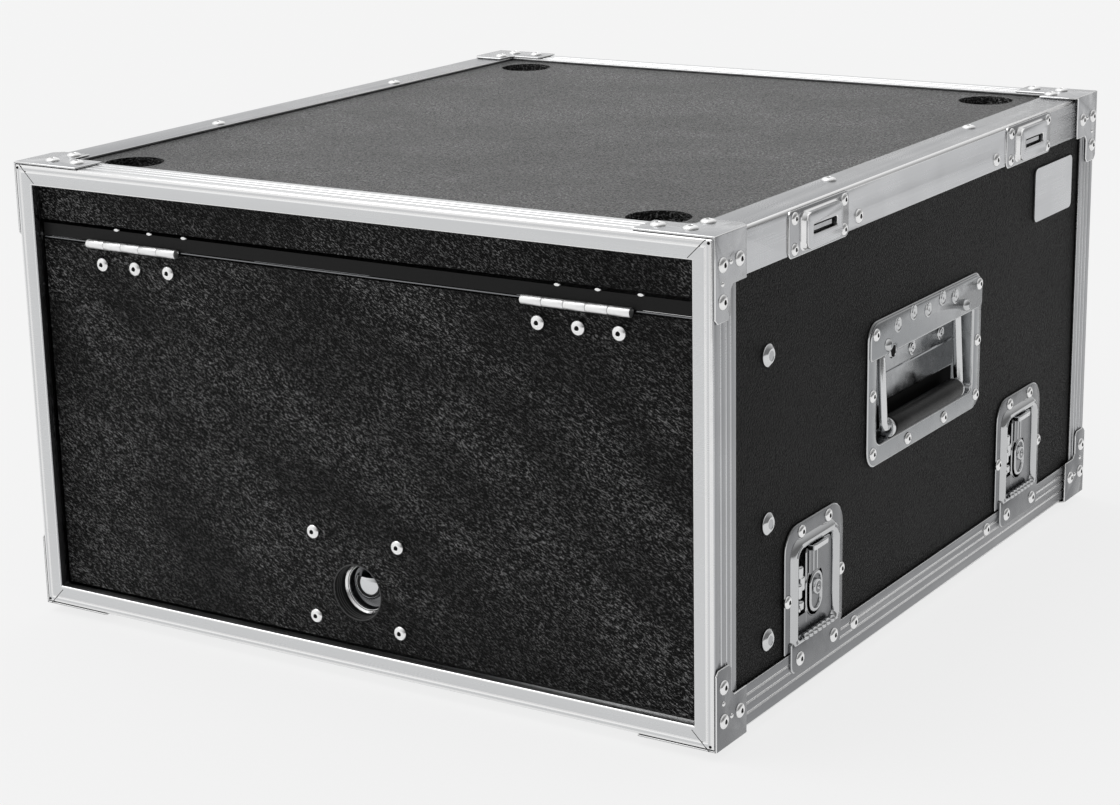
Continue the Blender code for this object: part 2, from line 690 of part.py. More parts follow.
def hinge_leaf(name, x):
    """The door's leaf with its three knuckles and the pin that passes through the carriage's two."""
    plate_tool, *others = door_leaf_tools(name, x)
    low = (x - HINGE_LENGTH / 2, -(DOOR_BACK - GAP), DOOR_HIGH - LEAF_HEIGHT)
    bpy.data.objects.remove(plate_tool)
    leaf = box(name, low, (-low[0] + 2 * x, low[1] + LEAF, AXIS_Z - SEAT), "steel")
    pin = rod(name + "_pin", (x - HINGE_LENGTH / 2 + 2 * GAP, -AXIS_Y, AXIS_Z), (1, 0, 0),
              HINGE_LENGTH - 4 * GAP, PIN_RADIUS, 6)
    return fuse(leaf, *others, knuckle_rods(name + "_knuckles", x, 0), pin)


def carriage(name):
    """The bar that both hinges hang from, with a slider block at each end that stays in the runner."""
    block = INNER_X - 2 * GAP - RUNNER_WEB
    neck = block - RUNNER_REACH
    front = -DOOR_FACE
    rear = -(DOOR_FACE - BAR_DEPTH)
    slider_end = -(RUNNER_END - SLIDER_LENGTH)
    half = [(DOOR_HALF, front), (DOOR_HALF, -RUNNER_END), (block, -RUNNER_END), (block, slider_end)]
    half += [(neck, slider_end), (neck, rear)]
    outline = half + [(-x, y) for x, y in reversed(half)]
    bar = plate(name, [outline], "Z", BAR_LOW, BAR_HIGH, "black_bar")
    for number, x in enumerate((-HINGE_SPREAD, HINGE_SPREAD)):
        leaf_name = f"{name}_leaf_{number}"
        notch = -(DOOR_FACE - 2 * SEAT)
        strip = plate(leaf_name, [castellated(x, 1, notch, rear - SEAT)], "Z", AXIS_Z + GAP, BAR_LOW + GAP)
        fuse(bar, strip, knuckle_rods(leaf_name + "_knuckles", x, 1))
        start = (x - HINGE_LENGTH / 2 + HINGE_LENGTH / KNUCKLES, -AXIS_Y, AXIS_Z)
        length = HINGE_LENGTH - 2 * HINGE_LENGTH / KNUCKLES
        cut(bar, rod(leaf_name + "_bore", start, (1, 0, 0), length, PIN_RADIUS + GAP, 8))
    return bar


def swing_up():
    axis = Vector((0, -AXIS_Y, AXIS_Z))
    return Matrix.Translation(axis) @ Matrix.Rotation(-math.pi / 2, 4, "X") @ Matrix.Translation(-axis)


def stow():
    """From the front's closed place to the rear's place under the lid."""
    return Matrix.Rotation(math.pi, 4, "Z") @ Matrix.Translation((0, STROKE, 0))


def rear_carriage(name):
    """The stowed carriage. Its hinges stay folded at a right angle here, so each barrel is one piece."""
    bar = carriage(name)
    for number, x in enumerate((-HINGE_SPREAD, HINGE_SPREAD)):
        leaf_name = f"{name}_door_leaf_{number}"
        barrel_start = (x - HINGE_LENGTH / 2, -AXIS_Y, AXIS_Z)
        fuse(bar, rod(leaf_name + "_barrel", barrel_start, (1, 0, 0), HINGE_LENGTH, KNUCKLE_RADIUS + SEAT, 8))
        for tool in door_leaf_tools(leaf_name, x):
            tool.matrix_world = swing_up() @ tool.matrix_world
            fuse(bar, tool)
    bar.matrix_world = stow()
    return bar


def catch_housing(name):
    """The cup behind the finger hole, with the bolt's channel, riveted through the door."""
    middle = BASE + CATCH_MIDDLE
    finger = BASE + FINGER_HOLE_HEIGHT
    front = -(DOOR_BACK - GAP)
    back = front + CATCH_DEPTH
    low = (-CATCH_WIDTH / 2, front, middle - CATCH_HEIGHT / 2)
    housing = box(name, low, (CATCH_WIDTH / 2, back, middle + CATCH_HEIGHT / 2), "steel")
    cup_depth = back - BOLT_PAD_STEP + DOOR_FACE
    cup_radius = FINGER_HOLE_RADIUS - LEAF
    cut(housing, rod(name + "_cup", (0, -DOOR_FACE, finger), (0, 1, 0), cup_depth, cup_radius, 18))
    half = BOLT_WIDTH / 2 + GAP
    y = bolt_front() - GAP
    cut(housing, box(name + "_channel", (-half, y, low[2] - 0.005), (half, y + BOLT_THICK + 2 * GAP, finger)))
    shanks, heads = through_rivets(name, catch_rivet_places())
    return fuse(housing, shanks, heads)


def bolt_front():
    return -(DOOR_BACK - BOLT_SETBACK)


def catch_bolt(name):
    """The sliding bolt: a strip with a round finger pad, cut flat on top."""
    finger = BASE + FINGER_HOLE_HEIGHT
    low = (-BOLT_WIDTH / 2, bolt_front(), DOOR_LOW + GAP)
    back = bolt_front() + BOLT_THICK
    bolt = box(name, low, (BOLT_WIDTH / 2, back, finger - BOLT_PAD_STEP), "steel")
    start = (0, bolt_front() - BOLT_PAD_STEP, finger)
    pad = rod(name + "_pad", start, (0, 1, 0), back - start[1], BOLT_PAD_RADIUS, 20)
    half = 2 * BOLT_PAD_RADIUS
    low = (-half, start[1] - BOLT_THICK, finger + BOLT_PAD_FLAT)
    top = box(name + "_flat", low, (half, back + BOLT_THICK, finger + half))
    return cut(fuse(bolt, pad), top)


def rear_catch(name):
    housing = fuse(catch_housing(name), catch_bolt_tool(name))
    housing.matrix_world = stow() @ swing_up()
    return housing


def catch_bolt_tool(name):
    finger = BASE + FINGER_HOLE_HEIGHT
    low = (-BOLT_WIDTH / 2 - 2 * GAP, bolt_front(), DOOR_LOW + GAP)
    return box(name + "_bolt", low, (BOLT_WIDTH / 2 + 2 * GAP, bolt_front() + BOLT_THICK, finger))


def handle_dish():
    """Half the width, the low and the high edge of the opening in the handle's plate."""
    low = BASE + HANDLE_MIDDLE - HANDLE_HEIGHT / 2 + HANDLE_BORDER
    return HANDLE_WIDTH / 2 - HANDLE_BORDER, low, low + HANDLE_HEIGHT - 2 * HANDLE_BORDER


def handle_places(side):
    floor = SKIN_X + GAP + SHEET - HANDLE_DISH_DEPTH
    return side * (floor + GRIP_RADIUS + GAP), BASE + BAIL_AXIS_HEIGHT


def handle_plate(name, side):
    """A pressed dish with a wide flange, a riveted top bracket and two bearings for the bail."""
    face = SKIN_X + GAP
    skin = face + SHEET
    floor = skin - HANDLE_DISH_DEPTH
    half_y, low, high = handle_dish()
    edge_low = low - HANDLE_BORDER
    edge_high = high + HANDLE_BORDER
    half = HANDLE_WIDTH / 2
    flange = rounded((-half, edge_low), (half, edge_high), HANDLE_ROUND, 3)
    dish = plate(name, [flange], "X", *both(side * face, side * skin), "steel")
    wall = rounded((-half_y - SHEET, low - SHEET), (half_y + SHEET, high + SHEET), HANDLE_DISH_ROUND + SHEET, 2)
    fuse(dish, plate(name + "_wall", [wall], "X", *both(side * (floor - SHEET), side * (face + SHEET / 2))))
    mouth = rounded((-half_y, low), (half_y, high), HANDLE_DISH_ROUND, 2)
    cut(dish, plate(name + "_mouth", [mouth], "X", *both(side * floor, side * (skin + 0.01))))
    axis_x, axis_z = handle_places(side)
    for end in (-1, 1):
        outer = BAIL_SPREAD - BEARING_FROM_ARM
        inner = outer - BEARING_WIDTH
        corner = (side * (floor - SHEET / 2), end * inner, axis_z - BEARING_DROP)
        fuse(dish, box(f"{name}_bearing_{end}", corner, (side * (face + SHEET / 2), end * outer, high + SHEET / 2)))
    bracket_low = edge_high - HANDLE_BRACKET
    bracket_high = (half - 0.001, edge_high - 0.001)
    shares = (0.3, 0.3, 1, 1)
    bracket = rounded((-half + 0.001, bracket_low), bracket_high, HANDLE_BRACKET_ROUND, 3, shares)
    fuse(dish, plate(name + "_bracket", [bracket], "X", *both(side * (skin - 0.0003), side * (skin + SHEET))))
    length = 2 * BEARING_WIDTH
    starts = [(axis_x, -BAIL_SPREAD, axis_z), (axis_x, BAIL_SPREAD - length, axis_z)]
    cut(dish, rods(name + "_bores", starts, (0, 1, 0), length, BAIL_RADIUS + GAP + SEAT, 8))
    for end in (-1, 1):
        slot = BAIL_RADIUS + BAIL_NOTCH
        y = end * BAIL_SPREAD
        notch = rounded((y - slot, bracket_low - 0.01), (y + slot, axis_z + slot), slot, 3, (0, 0, 1, 1))
        cut(dish, plate(f"{name}_notch_{end}", [notch], "X", *both(side * (floor + 0.0005), side * (skin + 0.01))))
    heads = [(side * skin, y, edge_low + HANDLE_RIVET_UP) for y in (-HANDLE_RIVET_Y, HANDLE_RIVET_Y)]
    heads += [(side * skin, end * y, z) for end in (-1, 1) for y, z in handle_side_rivets(edge_low)]
    fuse(dish, rivets(name + "_rivets", heads, (side, 0, 0)))
    return dish


def handle_side_rivets(edge_low):
    return [(HANDLE_WIDTH / 2 - inset, edge_low + up) for inset, up in HANDLE_SIDE_RIVETS]


def bail(name, side):
    """Round steel bent to the two arms, the pivots in the bearings and the bar inside the grip."""
    x, top = handle_places(side)
    low = top - BAIL_DROP
    bend = BAIL_BEND
    ease = bend * (1 - math.sin(math.radians(45)))
    half = [(BAIL_SPREAD - BAIL_PIVOT, top), (BAIL_SPREAD - bend, top), (BAIL_SPREAD - ease, top - ease)]
    half += [(BAIL_SPREAD, top - bend), (BAIL_SPREAD, low + bend), (BAIL_SPREAD - ease, low + ease)]
    half += [(BAIL_SPREAD - bend, low)]
    route = [(-y, z) for y, z in half] + list(reversed(half))
    curve = bpy.data.curves.new(name, "CURVE")
    curve.dimensions = "3D"
    curve.bevel_depth = BAIL_RADIUS
    curve.bevel_resolution = 2
    curve.use_fill_caps = True
    spline = curve.splines.new("POLY")
    spline.points.add(len(route) - 1)
    for point, (y, z) in zip(spline.points, route):
        point.co = (x, y, z, 1)
    return link(name, curve, "steel")


def grip(name, side):
    x, top = handle_places(side)
    start = (x, -GRIP_LENGTH / 2, top - BAIL_DROP)
    body = rod(name, start, (0, 1, 0), GRIP_LENGTH, GRIP_RADIUS, 20, "rubber")
    inside = (x, -GRIP_LENGTH, top - BAIL_DROP)
    return cut(body, rod(name + "_bore", inside, (0, 1, 0), 2 * GRIP_LENGTH, BAIL_RADIUS + GAP, 8))


def latch_axis(side):
    return side * (HALF_X + LATCH_AXIS_OUT), BASE + LATCH_AXIS_HEIGHT


def latch_knuckles(name, side, y, mine, radius):
    x, z = latch_axis(side)
    first = y - LATCH_KNUCKLES / 2 * LATCH_KNUCKLE_LENGTH
    places = [first + k * LATCH_KNUCKLE_LENGTH + GAP / 2 for k in range(LATCH_KNUCKLES) if k % 2 == mine]
    starts = [(x, place, z) for place in places]
    return rods(name, starts, (0, 1, 0), LATCH_KNUCKLE_LENGTH - GAP, radius, 8)


def latch_dish(name, side, y):
    """A pressed dish with a round-topped flange, a joggled foot over the edge profile and hinge knuckles."""
    face = SKIN_X + GAP
    skin = face + SHEET
    floor = skin - DISH_DEPTH
    foot_face = HALF_X + GAP
    foot_skin = foot_face + SHEET
    low = BASE + DISH_LOW
    high = BASE + DISH_HIGH
    step = BASE + FLANGE + 0.0018
    knuckle_low = BASE + LATCH_AXIS_HEIGHT - LATCH_KNUCKLE
    half = LATCH_WIDTH / 2
    opening = DISH_WIDTH / 2
    flange_low = (y - half, knuckle_low - 0.0013)
    flange = rounded(flange_low, (y + half, BASE + LATCH_TOP), LATCH_ROUND, 4, (0, 0, 1, 1))
    dish = plate(name, [flange], "X", *both(side * face, side * skin), "steel")
    wall = rounded((y - opening - SHEET, low - SHEET), (y + opening + SHEET, high + SHEET), DISH_ROUND + SHEET, 2)
    fuse(dish, plate(name + "_wall", [wall], "X", *both(side * (floor - SHEET), side * (face + SHEET / 2))))
    mouth = rounded((y - opening, low), (y + opening, high), DISH_ROUND, 2)
    cut(dish, plate(name + "_mouth", [mouth], "X", *both(side * floor, side * (skin + 0.01))))
    tab_low = (y - TAB_WIDTH / 2, BASE + LATCH_FOOT)
    tab = rounded(tab_low, (y + TAB_WIDTH / 2, knuckle_low - 0.0008), DISH_ROUND, 2, (1, 1, 0, 0))
    fuse(dish, plate(name + "_tab", [tab], "X", *both(side * foot_face, side * foot_skin)))
    corner = (side * (face + SEAT), y - TAB_WIDTH / 2 + GAP, step)
    end = (side * (foot_skin - GAP / 2), y + TAB_WIDTH / 2 - GAP, knuckle_low - 0.001)
    fuse(dish, box(name + "_joggle", corner, end))
    fuse(dish, latch_rim(name + "_rim", side, y, low + 0.0095, high))
    x, z = latch_axis(side)
    for number in range(0, LATCH_KNUCKLES, 2):
        start = y + (number - LATCH_KNUCKLES / 2) * LATCH_KNUCKLE_LENGTH + GAP
        ear = (side * (foot_face + SEAT), start, knuckle_low - 0.002)
        end = (side * (abs(x) - 0.0006), start + LATCH_KNUCKLE_LENGTH - 2 * GAP, z)
        fuse(dish, box(f"{name}_ear_{number}", ear, end))
    fuse(dish, latch_knuckles(name + "_knuckles", side, y, 0, LATCH_KNUCKLE))
    reach = LATCH_KNUCKLES / 2 * LATCH_KNUCKLE_LENGTH - 2 * GAP
    fuse(dish, rod(name + "_pin", (x, y - reach, z), (0, 1, 0), 2 * reach, LATCH_PIN, 6))
    return dish


def latch_rim(name, side, y, low, high):
    """The raised rim round the dish, open at the hinge."""
    inner = DISH_WIDTH / 2
    outer = inner + LATCH_RIM
    out = rounded((y - outer, low), (y + outer, high + LATCH_RIM), DISH_ROUND + LATCH_RIM, 2, (0, 0, 1, 1))
    hole = rounded((y - inner, low), (y + inner, high), DISH_ROUND, 2, (0, 0, 1, 1))
    outline = out[1:] + [out[0], hole[0]] + list(reversed(hole[2:])) + [hole[1]]
    skin = SKIN_X + GAP + SHEET
    return plate(name, [outline], "X", *both(side * (skin - 0.0003), side * (skin + LATCH_RIM_HEIGHT)))


def flap_face():
    return HALF_X - 0.0005


def latch_flap(name, side, y):
    """The fold-out plate with its two knuckles, a bent web up to them and a hole for the wing's axle."""
    outer = flap_face()
    inner = outer - FLAP_SHEET
    x, z = latch_axis(side)
    low = z + 0.0045
    outline = rounded((y - FLAP_WIDTH / 2, low), (y + FLAP_WIDTH / 2, BASE + FLAP_TOP), 0.005, 2)
    hole = circle((y, BASE + WING_HEIGHT), AXLE_RADIUS + 0.0004, 10)
    flap = plate(name, [outline, hole], "X", *both(side * inner, side * outer), "steel")
    web_in = inner + SEAT
    web_out = outer - SEAT
    bend = [(web_in, low + 0.0035), (web_in, low + GAP), (abs(x) - 0.0016, z + 0.001), (abs(x), z + 0.0012)]
    bend += [(abs(x), z + 0.0019), (web_out, low + 0.002), (web_out, low + 0.0035)]
    for number in range(1, LATCH_KNUCKLES, 2):
        start = y + (number - LATCH_KNUCKLES / 2) * LATCH_KNUCKLE_LENGTH + GAP
        end = start + LATCH_KNUCKLE_LENGTH - 2 * GAP
        fuse(flap, plate(f"{name}_web_{number}", [side_outline(bend, side)], "Y", start, end))
    fuse(flap, latch_knuckles(name + "_knuckles", side, y, 1, LATCH_KNUCKLE))
    reach = (LATCH_KNUCKLES - 1) / 2 * LATCH_KNUCKLE_LENGTH
    return cut(flap, rod(name + "_bore", (x, y - reach, z), (0, 1, 0), 2 * reach, LATCH_PIN + GAP, 6))


def latch_hook(name, side, y):
    """The drawn strip with the lip that goes into the keeper of the case below."""
    inner = flap_face() + GAP
    outer = inner + SHEET
    top = BASE + HOOK_TOP
    axle = BASE + WING_HEIGHT
    half = HOOK_WIDTH / 2
    slot = AXLE_RADIUS + 0.0004
    outline = rounded((y - half, axle - 0.0127), (y + half, top), 0.003, 2, (1, 1, 0, 0))
    hole = rounded((y - slot, axle - slot - HOOK_TRAVEL), (y + slot, axle + slot), slot * 0.98, 3)
    hook = plate(name, [outline, hole], "X", *both(side * inner, side * outer), "steel")
    corner = (side * (inner + GAP / 2), y - half + GAP, top - FLAP_SHEET)
    end = (side * (outer + HOOK_LIP - SHEET), y + half - GAP, top - GAP / 2)
    return fuse(hook, box(name + "_lip", corner, end))


def latch_wing(name, side, y):
    """The turning wing behind the flap, its axle, and the round boss that shows in the dish."""
    z = BASE + WING_HEIGHT
    boss_face = flap_face() + 2 * GAP + SHEET
    back = flap_face() - FLAP_SHEET - GAP
    wing = back - 0.005
    boss = rod(name, (side * boss_face, y, z), (side, 0, 0), 0.0027, BOSS_RADIUS, 12, "steel", BOSS_RADIUS - 0.0012)
    start = (side * (wing - SEAT), y, z)
    fuse(boss, rod(name + "_axle", start, (side, 0, 0), boss_face - wing + GAP, AXLE_RADIUS, 8))
    fuse(boss, rod(name + "_hub", (side * wing, y, z), (side, 0, 0), back - wing, 2 * AXLE_RADIUS, 8))
    lobes = arc((0, 0), 0.0075, 60, 120, 2) + arc((-WING_REACH + 0.006, 0), 0.006, 95, 265, 3)
    lobes += arc((0, 0), 0.0075, 240, 300, 2) + arc((WING_REACH - 0.006, 0), 0.006, -85, 85, 3)
    outline = [(y + a, z + b) for a, b in lobes]
    reach = both(side * (wing - SHEET), side * (wing + 2 * GAP))
    return fuse(boss, plate(name + "_lobes", [outline], "X", *reach))


def badge(name, side):
    low = (HALF_Y - BADGE_FROM_REAR - BADGE_WIDTH / 2, LID - BADGE_DROP - BADGE_HEIGHT / 2)
    outline = rounded(low, (low[0] + BADGE_WIDTH, low[1] + BADGE_HEIGHT), BADGE_ROUND, 3)
    face = SKIN_X + GAP
    return plate(name, [outline], "X", *both(side * face, side * (face + BADGE_THICK)), "edge_aluminium")


def pivot(name, place):
    """An empty on a joint's axis."""
    empty = bpy.data.objects.new(name, None)
    empty.location = place
    empty.empty_display_size = 0.02
    collection.objects.link(empty)
    return empty


def hang(axis, *nodes):
    """Puts moving pieces under the empty on their joint, where they stand."""
    bpy.context.view_layer.update()
    for node in nodes:
        node.parent = axis
        node.matrix_parent_inverse = axis.matrix_world.inverted()


SIDES = (("left", -1), ("right", 1))
ENDS = (("front", -1), ("rear", 1))
LEVELS = (("bottom", -1), ("top", 1))


def build_case():
    lid_panel()
    floor_panel()
    for end_name, end in ENDS:
        rim(end_name + "_frame", end)
        header(end_name + "_header", end)
    for side_name, side in SIDES:
        side_panel(side_name + "_panel", side)
        rack_rail(side_name + "_rack_rail", side)
        runner(side_name + "_runner", side)
        for level_name, level in LEVELS:
            edge_profile(f"{level_name}_{side_name}_edge", side, level)
            for end_name, end in ENDS:
                brace(f"{level_name}_{end_name}_{side_name}_brace", side, end, level)
    for number, (x, y) in enumerate(foot_places(), 1):
        foot(f"foot_{number}", x, y)
    badge("badge_plate", 1)


def build_front_door():
    axis = pivot("front_door_swing", (0, -AXIS_Y, AXIS_Z))
    panel = door_panel("front_door_panel")
    left = hinge_leaf("front_door_hinge_left", -HINGE_SPREAD)
    right = hinge_leaf("front_door_hinge_right", HINGE_SPREAD)
    housing = catch_housing("front_catch_housing")
    slide = pivot("front_catch_slide", (0, bolt_front(), BASE + FINGER_HOLE_HEIGHT))
    hang(slide, catch_bolt("front_catch_bolt"))
    hang(axis, panel, left, right, housing, slide)
    carriage("front_door_carriage")


def build_rear_door():
    axis = pivot("rear_door_slide", (0, AXIS_Y - STROKE, AXIS_Z))
    panel = door_panel("rear_door_panel")
    panel.matrix_world = stow() @ swing_up()
    hang(axis, panel, rear_carriage("rear_door_carriage"), rear_catch("rear_catch_housing"))


def build_handles():
    for side_name, side in SIDES:
        handle_plate(side_name + "_handle_dish", side)
        x, z = handle_places(side)
        axis = pivot(side_name + "_handle_swing", (x, 0, z))
        hang(axis, bail(side_name + "_handle_bail", side), grip(side_name + "_handle_grip", side))


def build_latches():
    for side_name, side in SIDES:
        for end_name, end in ENDS:
            name = f"{end_name}_{side_name}_latch"
            y = end * LATCH_SPREAD
            latch_dish(name + "_dish", side, y)
            x, z = latch_axis(side)
            flip = pivot(name + "_flip", (x, y, z))
            turn = pivot(name + "_turn", (side * flap_face(), y, BASE + WING_HEIGHT))
            hang(turn, latch_wing(name + "_wing", side, y), latch_hook(name + "_hook", side, y))
            hang(flip, latch_flap(name + "_flap", side, y), turn)


def main():
    global collection, cutters
    for obj in list(bpy.data.objects):
        bpy.data.objects.remove(obj)
    collection = bpy.data.collections.new("rack_case")
    cutters = bpy.data.collections.new("cutters")
    bpy.context.scene.collection.children.link(collection)
    bpy.context.scene.collection.children.link(cutters)
    new_material("vinyl", (0.02, 0.02, 0.022), 0.5, 0.0)
    new_material("edge_aluminium", (0.78, 0.79, 0.8), 0.35, 1.0)
    new_material("steel", (0.72, 0.73, 0.75), 0.25, 1.0)
    new_material("black_bar", (0.03, 0.03, 0.03), 0.45, 0.0)
    new_material("rubber", (0.025, 0.025, 0.025), 0.8, 0.0)
    build_case()
    build_front_door()
    build_rear_door()
    build_handles()
    build_latches()
    for obj in collection.objects:
        if obj.modifiers:
            tidy = obj.modifiers.new("flat_faces", "DECIMATE")
            tidy.decimate_type = "DISSOLVE"
            tidy.angle_limit = FLAT


main()
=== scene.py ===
# %% [markdown]
# # A rack case with doors that slide in under its lid
# This is a low road case for 19 inch gear: plywood boards covered in black leathercloth, held in
# aluminium extrusions and riveted steel corners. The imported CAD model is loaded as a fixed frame,
# and every piece below is modelled round it, in the same metres.

# %% Load the frame
import json
import math

import bmesh
import bpy
from mathutils import Matrix, Vector

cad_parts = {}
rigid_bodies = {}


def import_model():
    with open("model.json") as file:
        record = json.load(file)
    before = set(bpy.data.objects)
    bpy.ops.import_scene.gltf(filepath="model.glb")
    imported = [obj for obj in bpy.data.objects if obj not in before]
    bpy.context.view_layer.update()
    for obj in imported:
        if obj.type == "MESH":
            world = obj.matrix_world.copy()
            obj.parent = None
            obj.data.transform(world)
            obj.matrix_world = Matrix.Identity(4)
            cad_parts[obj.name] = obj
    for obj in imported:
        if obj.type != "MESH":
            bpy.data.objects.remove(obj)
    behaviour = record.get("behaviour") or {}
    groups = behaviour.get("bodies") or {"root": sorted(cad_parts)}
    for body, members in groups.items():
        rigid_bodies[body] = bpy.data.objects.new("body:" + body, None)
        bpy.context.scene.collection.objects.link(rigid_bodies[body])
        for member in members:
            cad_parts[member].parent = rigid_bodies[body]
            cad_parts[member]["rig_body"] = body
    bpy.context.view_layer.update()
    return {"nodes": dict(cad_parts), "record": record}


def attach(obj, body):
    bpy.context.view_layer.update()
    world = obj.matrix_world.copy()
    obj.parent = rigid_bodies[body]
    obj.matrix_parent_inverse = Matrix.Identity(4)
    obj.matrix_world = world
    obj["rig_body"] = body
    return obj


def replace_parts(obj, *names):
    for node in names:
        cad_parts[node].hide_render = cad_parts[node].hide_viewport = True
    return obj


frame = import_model()
nodes = frame["nodes"]

# %% [markdown]
# ## Colours and shader nodes
# Colours are written as they look on a screen, in hex, and one function turns them to the linear
# values that a shader works in. A second small function adds a shader node, fills in its settings
# and joins its inputs. The steps that most materials share have a function each: a change of
# range, a sum or product, a noise and a bump. So a material reads as a short list of steps.

# %% Colour and node helpers
def colour(text):
    parts = [int(text[k:k + 2], 16) / 255 for k in (1, 3, 5)]
    return (*[p / 12.92 if p <= 0.04045 else ((p + 0.055) / 1.055) ** 2.4 for p in parts], 1.0)


def add_node(material, kind, settings, links=None):
    made = material.node_tree.nodes.new(kind)
    for name, value in settings.items():
        if isinstance(name, int) or name in made.inputs:
            made.inputs[name].default_value = value
        else:
            setattr(made, name, value)
    for name, source in (links or {}).items():
        material.node_tree.links.new(source, made.inputs[name])
    return made


def new_material(name, base, roughness, metallic=0.0, **sockets):
    material = bpy.data.materials.new(name)
    material.use_nodes = True
    shader = material.node_tree.nodes["Principled BSDF"]
    shader.inputs["Base Color"].default_value = colour(base)
    shader.inputs["Roughness"].default_value = roughness
    shader.inputs["Metallic"].default_value = metallic
    for name, value in sockets.items():
        shader.inputs[name.replace("_", " ")].default_value = value
    place = add_node(material, "ShaderNodeTexCoord", {}).outputs["Object"]
    return material, shader, place


def join(material, source, target):
    material.node_tree.links.new(source, target)


def remap(material, value, low, high, to_low=0.0, to_high=1.0):
    """Maps a value from one range to another, and clamps it there."""
    settings = {"From Min": low, "From Max": high, "To Min": to_low, "To Max": to_high}
    return add_node(material, "ShaderNodeMapRange", settings, {"Value": value}).outputs["Result"]


def combine(material, operation, first, second):
    links = {0: first, 1: second}
    return add_node(material, "ShaderNodeMath", {"operation": operation}, links).outputs[0]


def noise(material, place, scale, detail=2.0, rough=0.5):
    settings = {"Scale": scale, "Detail": detail, "Roughness": rough}
    return add_node(material, "ShaderNodeTexNoise", settings, {"Vector": place}).outputs


def emboss(material, shader, height, strength, depth):
    settings = {"Strength": strength, "Distance": depth}
    bump = add_node(material, "ShaderNodeBump", settings, {"Height": height})
    join(material, bump.outputs["Normal"], shader.inputs["Normal"])


MM = 0.001

# %% [markdown]
# ## Leathercloth on plywood
# The boards are covered in PVC leathercloth, a soft film embossed with a leather grain. Each cell
# of the grain is about two millimetres across, with a crease round it. A Voronoi pattern measured
# as distance to its edges gives the creases, longer along one slanted line on the front. A noise
# bends them so that no line is straight, and a finer noise gives the pores. Along parts of the
# creases the base colour is painted paler, a painted glint, more in some patches than in others,
# and that makes black cloth sparkle. The film is smoother on top of a cell than in a crease, so the
# pattern drives the roughness too.

# %% Leathercloth
GRAIN_SLANT = math.radians(28)
CREASE_WIDTH = 0.22
PATCH_SCALE = 15.0


def leathercloth(name, base, cell, depth, roughness, specular, pale, stretch=1.0, rare=0.40):
    """Pale is the tone of the painted glints, rare thins them out and stretch draws out the cells.
    """
    material, shader, place = new_material(name, base, roughness, Specular_IOR_Level=specular)
    slant = (0.0, GRAIN_SLANT, 0.0)
    turned = {"vector_type": "TEXTURE", "Rotation": slant, "Scale": (stretch, 1.0, 1 / stretch)}
    place = add_node(material, "ShaderNodeMapping", turned, {"Vector": place}).outputs[0]
    drift = noise(material, place, 0.45 / cell)["Color"]
    shifted = add_node(
        material, "ShaderNodeVectorMath", {"operation": "MULTIPLY_ADD", 1: (cell * 1.6,) * 3},
        {0: drift, 2: place},
    )
    cells = add_node(
        material, "ShaderNodeTexVoronoi", {"feature": "DISTANCE_TO_EDGE", "Scale": 1 / cell},
        {"Vector": shifted.outputs[0]},
    ).outputs["Distance"]
    crease = remap(material, cells, 0.0, CREASE_WIDTH)
    pores = noise(material, place, 1.3 / cell, 3.0, 0.6)["Fac"]
    # Painted glint: along parts of the creases the base colour turns paler, up to the pale tone.
    glint_spots = remap(material, pores, rare, 0.62)
    line = remap(material, cells, 0.02, CREASE_WIDTH, 1.0, 0.0)
    patches = remap(material, noise(material, place, PATCH_SCALE)["Fac"], 0.38, 0.62, 0.4)
    painted_glint = combine(material, "MULTIPLY", combine(material, "MULTIPLY", glint_spots, line), patches)
    shade = remap(material, painted_glint, 0.0, 1.0, colour(base)[0], pale)
    join(material, shade, shader.inputs["Base Color"])
    height = add_node(
        material, "ShaderNodeMath", {"operation": "MULTIPLY_ADD", 1: 0.45}, {0: pores, 2: crease}
    )
    emboss(material, shader, height.outputs[0], 1.0, depth)
    gloss = remap(material, crease, 0.0, 1.0, roughness + 0.16, roughness - 0.06)
    join(material, gloss, shader.inputs["Roughness"])
    return material


# Painted light: front, side and top are lit and shaded copies of one cloth, set to how light falls.
cloth_front = leathercloth(
    "pvc_leathercloth_front", "#020202", 1.7 * MM, 0.7 * MM, 0.36, 0.11, pale=0.30, stretch=1.8,
    rare=0.49,
)
cloth_side = leathercloth(
    "pvc_leathercloth_side", "#070707", 2.0 * MM, 0.4 * MM, 0.42, 0.08, pale=0.022
)
cloth_top = leathercloth(
    "pvc_leathercloth_top", "#080808", 2.0 * MM, 0.8 * MM, 0.36, 0.42, pale=0.34, rare=0.49
)
ply_black = new_material("stained_plywood_black", "#0c0c0c", 0.7)[0]
ply_edge = new_material("worn_plywood_edge", "#4a4a4a", 0.6)[0]

# %% [markdown]
# ## Metals
# The edge profiles are extruded aluminium with a satin finish: fine lines run along the profile,
# drawn by the die. A noise stretched along one axis makes such lines. The pressed fittings are
# steel with bright zinc or nickel plating, smoother and a little wavy from the press. Each metal
# comes in lit and shaded copies: the fittings near the floor take a darker copy, painted shade, and
# flats that face different ways take lighter or darker copies, painted light and shade. The rims
# and bends take a brighter copy, a painted highlight, so flats and rims get finishes of their own.

# %% Aluminium and plated steel
DIE_LINE = 0.7 * MM
LINE_LENGTH = 120 * MM


def drawn_metal(name, base, roughness, along, depth):
    material, shader, place = new_material(name, base, roughness, 1.0)
    scale = [1 / DIE_LINE] * 3
    scale["XYZ".index(along)] = 1 / LINE_LENGTH
    drawn = add_node(material, "ShaderNodeMapping", {"Scale": scale}, {"Vector": place})
    lines = noise(material, drawn.outputs[0], 1.0, 4.0, 0.6)["Fac"]
    cloud = noise(material, place, 22.0, 3.0)["Fac"]
    mixed = combine(material, "ADD", lines, cloud)
    gloss = remap(material, mixed, 0.6, 1.4, roughness - 0.10, roughness + 0.10)
    join(material, gloss, shader.inputs["Roughness"])
    emboss(material, shader, lines, 0.6, depth)
    return material


